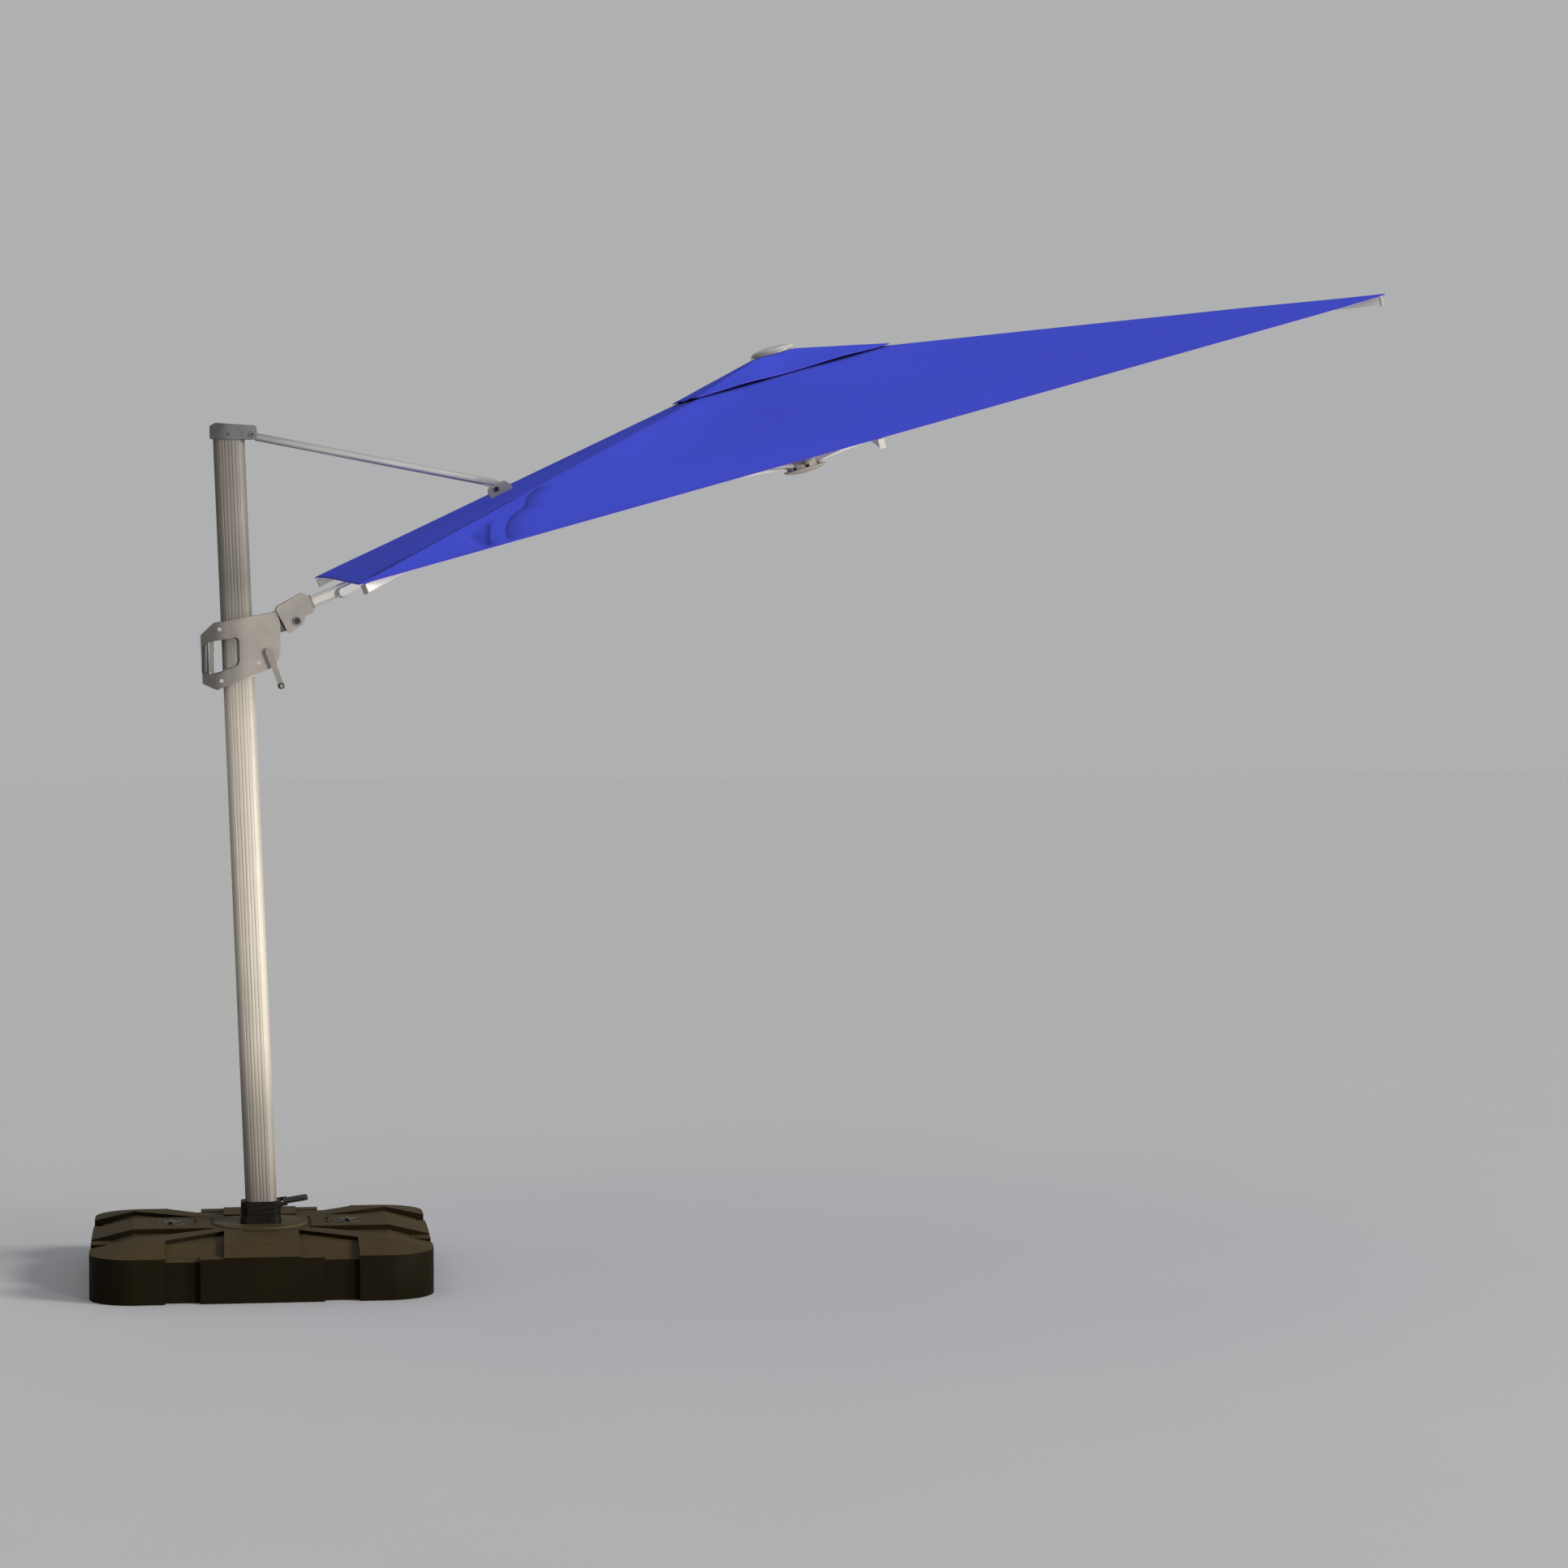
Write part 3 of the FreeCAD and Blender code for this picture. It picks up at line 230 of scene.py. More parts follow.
def moulded(name, col, rough=0.5, grain=900.0, grain_strength=0.18, dust_and_top_light=0.0, dust_and_top_light_col=(0.30, 0.27, 0.21), var=0.10, spec=0.5, painted_shade_ramp=None):
    """Moulded plastic: fine grain, slow colour drift, scuffs, and on faces that look up a paler coat of dust and
    painted top light.
    """
    m, nt, b, out = material(name, col)
    p = object_vec(nt)
    drift = noise(nt, p, 3.2, 3.0)
    fine = noise(nt, p, grain, 2.0)
    blotch = noise(nt, p, 28.0, 5.0)
    scratch = noise(nt, along_vec(nt, (0.83, 0.35, 0.43), 520.0, 11.0), 1.0, 2.0)
    c = mix(nt, remap(nt, drift, 0.3, 0.7, 0, 1), shade(col, 1 - var), shade(col, 1 + var))
    c = mix(nt, remap(nt, blotch, 0.45, 0.8, 0, 0.30), c, shade(col, 1.35))
    c = mix(nt, remap(nt, scratch, 0.70, 0.80, 0, 0.22), c, shade(col, 1.9))
    # dust and painted top light: faces that look up are made paler
    if dust_and_top_light > 0:
        g = node(nt, "ShaderNodeNewGeometry")
        sep = node(nt, "ShaderNodeSeparateXYZ")
        link(nt, g.outputs["Normal"], sep.inputs[0])
        up = remap(nt, sep.outputs["Z"], 0.25, 0.80, 0, 1, True)
        d = math_node(nt, "MULTIPLY", up, remap(nt, blotch, 0.30, 0.75, 0.62, 1.0))
        d = math_node(nt, "MULTIPLY", d, dust_and_top_light)
        c = mix(nt, d, c, dust_and_top_light_col)
    # painted shade: a slow darkening along an axis, where less light falls
    if painted_shade_ramp:
        c = painted_shade_along(nt, c, *painted_shade_ramp)
    link(nt, c, b.inputs["Base Color"])
    r = remap(nt, blotch, 0.25, 0.75, rough - 0.07, rough + 0.09)
    link(nt, r, b.inputs["Roughness"])
    b.inputs["Specular IOR Level"].default_value = spec
    n1 = bump(nt, fine, grain_strength, 0.0004)
    n2 = bump(nt, scratch, 0.05, 0.0002, n1)
    link(nt, n2, b.inputs["Normal"])
    return m


def paint_window_wall_shade(m, x0, x1, z0, z1, k):
    """Paint shade on the faces that look sideways inside a box in X and Z: the walls of a window cut through a plate,
    which lie in shadow.
    """
    nt = m.node_tree
    b = next(n for n in nt.nodes if n.type == "BSDF_PRINCIPLED")
    source = b.inputs["Base Color"].links[0].from_socket
    g = node(nt, "ShaderNodeSeparateXYZ")
    link(nt, node(nt, "ShaderNodeNewGeometry").outputs["True Normal"], g.inputs[0])
    p = node(nt, "ShaderNodeSeparateXYZ")
    link(nt, object_vec(nt), p.inputs[0])
    f = math_node(nt, "LESS_THAN", math_node(nt, "ABSOLUTE", g.outputs["Y"]), 0.93)
    for out, lo, hi in (("X", x0, x1), ("Z", z0, z1)):
        f = math_node(nt, "MULTIPLY", f, math_node(nt, "GREATER_THAN", p.outputs[out], lo))
        f = math_node(nt, "MULTIPLY", f, math_node(nt, "LESS_THAN", p.outputs[out], hi))
    # painted shade: the window's walls go near-black
    link(nt, mix(nt, math_node(nt, "MULTIPLY", f, k), source, (0.004, 0.0035, 0.003)), b.inputs["Base Color"])


def add_painted_shade(m, axis, table):
    """Put painted shade, a slow darkening along an axis or a direction, over a finished material."""
    nt = m.node_tree
    b = next(n for n in nt.nodes if n.type == "BSDF_PRINCIPLED")
    source = b.inputs["Base Color"].links[0].from_socket
    link(nt, painted_shade_along(nt, source, axis, table), b.inputs["Base Color"])


def coated(name, col, rough=0.42, metal=0.15, spec=0.5):
    """Powder coat: orange peel with a little sparkle and worn patches."""
    m, nt, b, out = material(name, col)
    p = object_vec(nt)
    peel = noise(nt, p, 620.0, 1.5)
    wear = noise(nt, p, 34.0, 5.0)
    drift = noise(nt, p, 5.0, 3.0)
    c = mix(nt, remap(nt, drift, 0.3, 0.7, 0, 1), shade(col, 0.85), shade(col, 1.2))
    c = mix(nt, remap(nt, wear, 0.62, 0.80, 0, 0.35), c, shade(col, 2.2))
    link(nt, c, b.inputs["Base Color"])
    b.inputs["Metallic"].default_value = metal
    link(nt, remap(nt, wear, 0.3, 0.8, rough - 0.06, rough + 0.14), b.inputs["Roughness"])
    link(nt, bump(nt, peel, 0.25, 0.0004), b.inputs["Normal"])
    b.inputs["Specular IOR Level"].default_value = spec
    return m


def steel(name, col=(0.62, 0.61, 0.58), rough=0.30):
    m, nt, b, out = material(name, col)
    p = object_vec(nt)
    turned = noise(nt, along_vec(nt, (0, 1, 0), 240.0, 1600.0), 1.0, 2.0)
    stain = noise(nt, p, 80.0, 4.0)
    c = mix(nt, remap(nt, stain, 0.45, 0.75, 0, 0.5), col, shade(col, 0.62))
    link(nt, c, b.inputs["Base Color"])
    b.inputs["Metallic"].default_value = 1.0
    link(nt, remap(nt, stain, 0.3, 0.75, rough - 0.06, rough + 0.16), b.inputs["Roughness"])
    link(nt, bump(nt, turned, 0.18, 0.0002), b.inputs["Normal"])
    return m


def fabric(name, col, pitch=0.0011):
    """Plain-woven polyester: two yarn directions from the UV in metres, hem and seam stitches from a second and third
    UV, slow fading, a little light let through, painted shade on the hem's edge and in tucks and creases from a fourth
    UV."""
    m, nt, b, out = material(name, col)
    uv = node(nt, "ShaderNodeUVMap", uv_map="cloth").outputs[0]
    sep = node(nt, "ShaderNodeSeparateXYZ")
    link(nt, uv, sep.inputs[0])
    k = 2 * math.pi / pitch
    wx = math_node(nt, "SINE", math_node(nt, "MULTIPLY", sep.outputs["X"], k))
    wy = math_node(nt, "SINE", math_node(nt, "MULTIPLY", sep.outputs["Y"], k))
    over = math_node(nt, "MULTIPLY", wx, wy)
    yarn = math_node(nt, "ADD", math_node(nt, "MULTIPLY", over, 0.5), 0.5)
    p = object_vec(nt)
    fade = noise(nt, p, 0.9, 3.0)
    slub = noise(nt, uv, 260.0, 2.0)
    pucker = noise(nt, uv, 17.0, 3.0)
    c = mix(nt, remap(nt, fade, 0.3, 0.7, 0, 1), shade(col, 0.93), shade(col, 1.06))
    c = mix(nt, math_node(nt, "MULTIPLY", yarn, 0.22), c, shade(col, 0.66))
    c = mix(nt, remap(nt, slub, 0.55, 0.8, 0, 0.20), c, shade(col, 1.3))
    # stitch rows: edge UV holds (distance in from the hem edge, distance along it); seam UV the same for the hip seam
    hide = None
    for uvname, rows in (("edge", (0.0045, 0.0215)), ("hip", (0.0035, 0.0085))):
        e = node(nt, "ShaderNodeUVMap", uv_map=uvname).outputs[0]
        s = node(nt, "ShaderNodeSeparateXYZ")
        link(nt, e, s.inputs[0])
        dash = math_node(nt, "LESS_THAN", math_node(nt, "FRACT", math_node(nt, "MULTIPLY", s.outputs["Y"], 1 / 0.0042)), 0.72)
        for d0 in rows:
            near = math_node(nt, "LESS_THAN", math_node(nt, "ABSOLUTE", math_node(nt, "SUBTRACT", s.outputs["X"], d0)), 0.0006)
            one = math_node(nt, "MULTIPLY", near, dash)
            hide = one if hide is None else math_node(nt, "MAXIMUM", hide, one)
    c = mix(nt, math_node(nt, "MULTIPLY", hide, 0.55), c, shade(col, 0.35))
    # painted shade: the turned hem's edge is darkened towards violet, toning down its lit rim and the gap under the
    # vent's hem
    he = node(nt, "ShaderNodeSeparateXYZ")
    link(nt, node(nt, "ShaderNodeUVMap", uv_map="edge").outputs[0], he.inputs[0])
    hem_edge_shade = math_node(nt, "LESS_THAN", math_node(nt, "ABSOLUTE", he.outputs["X"]), 0.0045)
    c = mix(nt, math_node(nt, "MULTIPLY", hem_edge_shade, 0.85), c, (col[0] * 0.95, col[1] * 0.55, col[2] * 0.52))
    # painted shade, with a little dust, deep in a tuck, in a seam's crease and under the vent's edge
    tuck = node(nt, "ShaderNodeSeparateXYZ")
    link(nt, node(nt, "ShaderNodeUVMap", uv_map="fold").outputs[0], tuck.inputs[0])
    c = mix(nt, tuck.outputs["X"], c, (col[0] * 0.20, col[1] * 0.16, col[2] * 0.10))
    link(nt, c, b.inputs["Base Color"])
    link(nt, remap(nt, slub, 0.3, 0.7, 0.82, 0.94), b.inputs["Roughness"])
    b.inputs["Specular IOR Level"].default_value = 0.04
    b.inputs["Sheen Weight"].default_value = 0.0
    b.inputs["Sheen Roughness"].default_value = 0.5
    h = math_node(nt, "ADD", yarn, math_node(nt, "MULTIPLY", hide, -1.5))
    n1 = bump(nt, h, 0.20, 0.0003)
    n2 = bump(nt, pucker, 0.06, 0.004, n1)
    link(nt, n2, b.inputs["Normal"])
    tr = node(nt, "ShaderNodeBsdfTranslucent")
    link(nt, c, tr.inputs["Color"])
    ms = node(nt, "ShaderNodeMixShader")
    ms.inputs[0].default_value = 0.10
    link(nt, b.outputs["BSDF"], ms.inputs[1])
    link(nt, tr.outputs[0], ms.inputs[2])
    link(nt, ms.outputs[0], out.inputs["Surface"])
    return m


def axis_distance(nt, points):
    """Distance in the X-Z plane from the nearest of several axes that run along Y."""
    sep = node(nt, "ShaderNodeSeparateXYZ")
    link(nt, object_vec(nt), sep.inputs[0])
    best = None
    for x, z in points:
        dx = math_node(nt, "SUBTRACT", sep.outputs["X"], x)
        dz = math_node(nt, "SUBTRACT", sep.outputs["Z"], z)
        d = math_node(nt, "SQRT", math_node(nt, "ADD", math_node(nt, "MULTIPLY", dx, dx), math_node(nt, "MULTIPLY", dz, dz)))
        best = d if best is None else math_node(nt, "MINIMUM", best, d)
    return best


def socketed(name, col, points, r_socket_shade, rough=0.35, metal=0.8):
    """Screw or bolt head with its socket painted dark: painted shade in the recess."""
    m, nt, b, out = material(name, col)
    p = object_vec(nt)
    stain = noise(nt, p, 300.0, 4.0)
    d = axis_distance(nt, points)
    c = mix(nt, remap(nt, stain, 0.35, 0.75, 0, 0.5), col, shade(col, 0.7))
    turned = math_node(nt, "SINE", math_node(nt, "MULTIPLY", d, 2 * math.pi / 0.0007))
    # painted shade: inside the socket's radius the head is near-black and not metallic
    dark = math_node(nt, "LESS_THAN", d, r_socket_shade)
    c = mix(nt, dark, c, (0.006, 0.006, 0.006))
    link(nt, c, b.inputs["Base Color"])
    link(nt, math_node(nt, "MULTIPLY", math_node(nt, "SUBTRACT", 1.0, dark), metal), b.inputs["Metallic"])
    link(nt, remap(nt, stain, 0.3, 0.7, rough - 0.05, rough + 0.12), b.inputs["Roughness"])
    link(nt, bump(nt, turned, 0.12, 0.0001), b.inputs["Normal"])
    return m


CHAMPAGNE = (0.55, 0.50, 0.415)
RIBCOL = (0.64, 0.615, 0.56)
BLUE = (0.071, 0.101, 0.81)
MID_SLOPE, COR_SLOPE = math.radians(11.32), math.radians(8.05)
M = {}
# the tank and filler caps are paler on top: dust and painted top light
M["base"] = moulded("base_moulded", (0.0062, 0.0044, 0.0012), 0.62, 380.0, 0.16, dust_and_top_light=0.92, dust_and_top_light_col=(0.070, 0.050, 0.020), var=0.16, spec=0.04)
M["cap"] = moulded("cap_moulded", (0.011, 0.008, 0.004), 0.50, 600.0, 0.14, dust_and_top_light=0.80, dust_and_top_light_col=(0.105, 0.086, 0.050), spec=0.25)
M["plate"] = coated("plate_coated", (0.062, 0.047, 0.021), 0.56, 0.0, 0.08)
M["foot"] = coated("foot_coated", (0.0042, 0.0030, 0.0020), 0.55, 0.0, 0.08)
M["pedal"] = coated("pedal_coated", (0.0075, 0.0056, 0.0034), 0.50, 0.0, 0.08)
M["topcap"] = coated("topcap_coated", (0.105, 0.104, 0.105), 0.40)
# painted shade: the mast cap is darkened towards its left side, where less light falls
add_painted_shade(M["topcap"], "X", ((-0.145, 0.20), (-0.120, 0.30), (-0.065, 0.95), (0.01, 1.0)))
# painted shade: the slider plates darken towards their left end, and the window's walls are painted dark
M["slider"] = moulded("slider_moulded", (0.330, 0.296, 0.258), 0.42, 700.0, 0.16, var=0.05, painted_shade_ramp=("X", ((-0.175, 0.12), (-0.135, 0.17), (-0.085, 0.50), (-0.02, 0.92), (0.08, 1.0))))
paint_window_wall_shade(M["slider"], -0.1535, -0.0500, 1.8480, 1.9740, 0.92)
M["sliderdark"] = moulded("slider_inner", (0.075, 0.068, 0.060), 0.50, 700.0, 0.16, var=0.08)
M["spine"] = anodised("spine_bright", (0, 0, 1), (0.62, 0.61, 0.60), 0.30, 0.85)
M["crank"] = moulded("crank_moulded", (0.225, 0.203, 0.175), 0.42, 700.0, 0.16, var=0.06)
M["head"] = moulded("head_moulded", (0.300, 0.276, 0.248), 0.42, 700.0, 0.16, var=0.07)
M["black"] = moulded("black_moulded", (0.022, 0.021, 0.020), 0.48, 800.0, 0.20, var=0.15)
M["lever"] = moulded("lever_moulded", (0.20, 0.185, 0.165), 0.42, 700.0, 0.14, var=0.07)
M["hub"] = moulded("hub_moulded", (0.42, 0.375, 0.30), 0.45, 700.0, 0.16, var=0.08)
# painted light and painted shade: a lit and a shaded copy of one tip material
M["tip"] = moulded("tip_painted_shade_moulded", (0.235, 0.225, 0.20), 0.45, 700.0, 0.14, var=0.06)
M["tip_bright"] = moulded("tip_bright_moulded", (0.46, 0.44, 0.40), 0.45, 700.0, 0.14, var=0.06)
# paler on top: dust and painted top light
M["finial"] = moulded("finial_moulded", (0.21, 0.205, 0.195), 0.34, 500.0, 0.08, dust_and_top_light=0.85, dust_and_top_light_col=(0.50, 0.49, 0.45), var=0.08)
M["steel"] = steel("zinc_steel")
M["pad"] = moulded("glide_pad", (0.55, 0.54, 0.50), 0.40, 500.0, 0.10)
M["water"] = moulded("water_fill", (0.30, 0.36, 0.38), 0.20, 100.0, 0.05)
# painted shade: the mast darkens towards the floor and above the slider, and on its left side
M["mast"] = anodised("mast_anodised", MAST_DIR, CHAMPAGNE, 0.52, 0.20, ("Z", ((0.10, 0.20), (0.45, 0.45), (0.75, 0.80), (1.05, 0.92), (1.70, 1.0), (2.04, 0.37), (2.60, 0.31))), 0.16)
add_painted_shade(M["mast"], (1.0, 0.0, 0.03597), ((-0.0400, 0.60), (-0.0150, 0.64), (0.0050, 0.76), (0.0200, 0.95), (0.0600, 1.0)))
M["arm"] = anodised("arm_anodised", ARM_DIR, RIBCOL, 0.38, 0.4)
M["stay"] = anodised("stay_anodised", STAY_DIR, (0.52, 0.515, 0.50), 0.36, 0.5)
# painted shade: the stay darkens towards its mast end
add_painted_shade(M["stay"], "X", ((-0.02, 0.45), (0.25, 0.70), (0.70, 0.92)))
# painted shade: a darker copy of the stay's finish, so the fittings' flat faces look no more lit than the tube
M["stay_end"] = anodised("stay_end_painted_shade_anodised", STAY_DIR, (0.36, 0.357, 0.345), 0.48, 0.35)
M["bracket"] = coated("bracket_coated", (0.33, 0.33, 0.31), 0.36, 0.35)
M["post"] = anodised("post_anodised", tuple(N), RIBCOL)
M["fabric"] = fabric("canopy_polyester", BLUE)


def azimuth_dir(az, slope):
    a = math.radians(az)
    return tuple(math.cos(slope) * (math.cos(a) * U + math.sin(a) * W) - math.sin(slope) * N)


def dress(name, mat, bevel=0.0006, angle=35):
    o = NODES[name]
    o.data.materials.clear()
    o.data.materials.append(mat)
    if bevel:
        w = o.modifiers.new("weld", "WELD")
        w.merge_threshold = 0.00001
        b = o.modifiers.new("bevel", "BEVEL")
        b.width = bevel
        b.segments = 2
        b.limit_method = "ANGLE"
        b.angle_limit = math.radians(angle)
        b.harden_normals = True
        b.use_clamp_overlap = True
    return o


dress("base_tank", M["base"], 0.0025, 20)
dress("water_fill", M["water"], 0)
dress("centre_plate", M["plate"], 0.0010)
for n in ("filler_cap_left", "filler_cap_right"):
    dress(n, M["cap"], 0.0010)
dress("mast_tube", M["mast"], 0)
dress("mast_foot", M["foot"], 0.0012)
dress("mast_cap", M["topcap"], 0.0012)
dress("mast_cap_bolts", socketed("mast_cap_heads", (0.12, 0.12, 0.12), [(-0.0139, 2.5867), (-0.0839, 2.5876)], 0.0034, 0.35, 0.6), 0.0004)
dress("foot_pedal", M["pedal"], 0.0008)
for n in ("slider_plate_far", "slider_plate_near"):
    dress(n, M["slider"], 0.0008)
dress("slider_carriage", M["sliderdark"], 0.0008)
dress("slider_screws", socketed("slider_screw_heads", (0.75, 0.73, 0.69), [(-0.1149, 1.9932), (-0.1098, 1.8359), (0.0038, 1.8913)], 0.0023), 0.0003)
dress("glide_pads", M["pad"], 0)
dress("slider_spine", M["spine"], 0.0006)
dress("grip_bar", M["sliderdark"], 0.0020)
dress("release_lever", M["lever"], 0.0020)
dress("crank", M["crank"], 0.0016)
dress("crank_knob", M["black"], 0.0006)
dress("arm_pivot_bolt", socketed("arm_pivot_head", (0.135, 0.125, 0.115), [(0.1201, 2.0184)], 0.0083, 0.4, 0.1), 0.0005)
dress("arm_head", M["head"], 0.0012)
dress("arm_tube", M["arm"], 0)
dress("arm_clip_ring", M["head"], 0.0004)
dress("stay_bracket", M["bracket"], 0.0006)
dress("stay_bracket_bolt", socketed("stay_bracket_head", (0.030, 0.030, 0.030), [(0.7344, 2.4228)], 0.0036, 0.35, 0.4), 0.0003)
dress("stay_tube", M["stay"], 0)
dress("stay_end_fittings", M["stay_end"], 0)
dress("top_hub", M["hub"], 0.0010)
dress("rib_pins", M["steel"], 0)
dress("hub_post", M["post"], 0)
dress("post_clamp", M["head"], 0.0008)
dress("finial_cap", M["finial"], 0.0008)
dress("lower_hub", M["hub"], 0.0012)
for az, nm in GORES.items():
    slope = COR_SLOPE if az % 90 else MID_SLOPE
    # painted light: the near outer rib's colour is lightened
    dress("rib_" + nm, anodised("rib_%s_anodised" % nm, azimuth_dir(az, slope), shade(RIBCOL, 1.25) if nm == "near_outer" else RIBCOL, 0.40, 0.35), 0.0005)
    # painted light: the near rib's tip gets the lit copy, the others the shaded copy
    dress("rib_%s_tip" % nm, M["tip_bright"] if nm == "near" else M["tip"], 0.0005)
    dress("strut_" + nm, anodised("strut_%s_anodised" % nm, azimuth_dir(az, -math.radians(6.5)), RIBCOL, 0.40, 0.35), 0.0006)


# ------------------------------------------------------------------ canopy cloth
def polyline(u, v, pts):
    """Distance to a polyline, signed by side, and the place along it from 0 to 1."""
    pts = np.array(pts, float)
    seg = np.diff(pts, axis=0)
    ln = np.linalg.norm(seg, axis=1)
    total, start = ln.sum(), np.concatenate([[0], np.cumsum(ln)[:-1]])
    best = np.full(u.shape, 1e9)
    sign = np.zeros(u.shape)
    at = np.zeros(u.shape)
    for (x, y), (dx, dy), l, s in zip(pts[:-1], seg, ln, start):
        k = np.clip(((u - x) * dx + (v - y) * dy) / (l * l), 0, 1)
        ex, ey = u - x - k * dx, v - y - k * dy
        d = np.hypot(ex, ey)
        nearer = d < best
        best = np.where(nearer, d, best)
        sign = np.where(nearer, np.sign(dx * ey - dy * ex), sign)
        at = np.where(nearer, (s + k * l) / total, at)
    return best * sign, at


FOLDS = [
    # (points in canopy u, v; height; width on the steep side; width on the gentle side; kind; taper)
    ([(-0.875, -0.905), (-0.907, -0.934), (-0.928, -0.962), (-0.948, -1.007), (-0.961, -1.054), (-0.970, -1.107), (-0.980, -1.144), (-0.997, -1.158), (-1.018, -1.191), (-1.037, -1.234), (-1.052, -1.294), (-1.062, -1.344), (-1.069, -1.408), (-1.073, -1.470)], 0.0022, 0.010, 0.034, "fold", 0.07),
    ([(-1.045, -1.185), (-1.067, -1.195), (-1.090, -1.237), (-1.098, -1.290), (-1.112, -1.375), (-1.119, -1.441), (-1.121, -1.490)], -0.0030, 0.018, 0.030, "fold", 0.25),
    ([(-1.150, -1.230), (-1.147, -1.318), (-1.138, -1.406), (-1.125, -1.480)], -0.0035, 0.022, 0.022, "ridge", 0.3),
    ([(-1.474, -1.442), (-1.440, -1.351), (-1.394, -1.270), (-1.345, -1.215), (-1.300, -1.185)], -0.0010, 0.012, 0.012, "ridge", 0.2),
    ([(-1.472, -1.120), (-1.410, -0.454), (-1.343, 0.124), (-1.259, 0.486)], -0.0050, 0.014, 0.030, "fold", 0.2),
    ([(-1.470, 1.250), (-1.380, 0.900), (-1.290, 0.560)], -0.0030, 0.030, 0.030, "ridge", 0.3),
    ([(1.455, 1.380), (1.330, 1.130), (1.210, 0.980)], -0.0030, 0.022, 0.022, "ridge", 0.3),
    ([(-1.120, 1.470), (-1.060, 1.290), (-0.960, 1.130)], -0.0040, 0.024, 0.024, "ridge", 0.3),
]
# how dark each tuck is and how far its shade reaches, in the same order
FOLD_DEPTH = (1.0, 0.75, 0.28, 0.85, 0.30, 0.0, 0.0, 0.0)
FOLD_REACH = (0.018, 0.015, 0.020, 0.026, 0.012, 0.010, 0.010, 0.010)
# how far the stretched edge lies above the straight line between corners, along u on the near and far sides and along v on the mast and outer sides
NEAR_EDGE = ((-1.5, -1.15, -0.42, -0.06, 0.6, 1.24, 1.40, 1.5), (-0.0025, -0.0030, -0.0036, -0.0045, -0.0048, -0.0050, -0.0045, -0.0020))
MAST_EDGE = ((-1.5, -0.93, -0.16, 0.52, 1.10, 1.5), (-0.0025, -0.0003, 0.0036, 0.0062, 0.0045, 0.0015))


def smooth_interp(x, table):
    xs, ys = np.array(table[0]), np.array(table[1])
    out = np.zeros(np.shape(x))
    for dx in (-0.09, -0.045, 0.0, 0.045, 0.09):
        out = out + np.interp(np.asarray(x) + dx, xs, ys) / 5
    return out


def cloth_height(u, v):
    """Top of the stretched cloth above the edge plane."""
    au, av = np.abs(u), np.abs(v)
    e = 0.0035
    q = 0.5 * (au + av + np.sqrt((au - av) ** 2 + e * e))
    q = np.where(q > HALF, HALF, q)
    t = RISE * (HALF - q)
    lo, hi = np.minimum(au, av), np.maximum(au, av)
    share = np.clip(lo / np.maximum(hi, 1e-6), 0, 1)
    radial = np.clip((hi - HOLE) / (HALF - HOLE), 0, 1)
    # gentle sag between a corner rib and the middle rib of each side
    sag = 0.0045 * np.sin(math.pi * share) ** 2 * np.sin(math.pi * radial) ** 0.8
    mast = (u < 0) & (au >= av)
    sag = sag + np.where(mast, 0.005 * np.cos(0.5 * math.pi * share) ** 2 * radial * np.sin(math.pi * radial) ** 0.5, 0)
    t = t - sag
    # the free edge
    near_far = smooth_interp(u, NEAR_EDGE)
    side = np.where(u < 0, smooth_interp(v, MAST_EDGE), -0.0022 + 0.0 * v)
    w_side = np.clip((au - av) / 0.05 * 0.5 + 0.5, 0, 1)
    edge = near_far * (1 - w_side) + side * w_side
    reach = np.clip((hi - 1.15) / 0.35, 0, 1)
    t = t + edge * reach * reach * (3 - 2 * reach)
    # small wandering unevenness
    w = 0.0005 + 0.0004 * radial
    calm = np.clip((HALF - hi) / 0.10, 0, 1)
    t = t + calm * w * (np.sin(7.1 * u + 2.3 * v + 0.7) * np.sin(5.3 * v - 1.9 * u + 2.1) + 0.5 * np.sin(15.7 * u - 9.1 * v + 0.3) * np.sin(11.9 * v + 4.0 * u)) * np.clip(np.abs(hi - lo) / 0.06, 0, 1)
    # held up a little where the bracket comes through
    t = t + 0.0085 * np.exp(-((v / 0.22) ** 2)) * np.exp(-(((u + 0.93) / 0.16) ** 2))
    # drawn folds
    rim = np.clip((HALF - 0.004 - hi) / 0.045, 0, 1)
    for pts, height, steep, gentle, kind, taper in FOLDS:
        d, at = polyline(u, v, pts)
        ends = np.clip(at / taper, 0, 1) * np.clip((1 - at) / taper, 0, 1) if abs(pts[-1][1]) < 1.46 else np.clip(at / taper, 0, 1)
        ends = ends * ends * (3 - 2 * ends) * rim
        if kind == "ridge":
            t = t + height * ends * np.exp(-((d / steep) ** 2))
        else:
            # a tucked edge: level on one side, a quick drop and a slow recovery on the other
            x = d if height > 0 else -d
            drop = np.where(x > 0, np.exp(-x / gentle) * (1 - np.exp(-x / steep)), 0)
            crest = 0.25 * np.exp(-((x / (steep * 2.5)) ** 2)) * np.where(x < 0, 1, np.exp(-np.clip(x, 0, 1) / (0.5 * steep)))
            t = t - abs(height) * ends * (drop - crest)
    # pinched crease over the near corner rib and slighter ones over the others
    hip = (hi - lo) / math.sqrt(2)
    near_mast = (u < 0) & (v < 0)
    far_out = np.clip((hi - 0.93) / 0.08, 0, 1) * np.clip((HALF - 0.02 - hi) / 0.06, 0, 1)
    t = t - np.where(near_mast, 0.0020, 0.0006) * far_out * np.exp(-((hip / 0.0035) ** 2))
    lip = np.clip((hi - (HALF - 0.005)) / 0.005, 0, 1)
    return t - 0.0014 * lip * lip


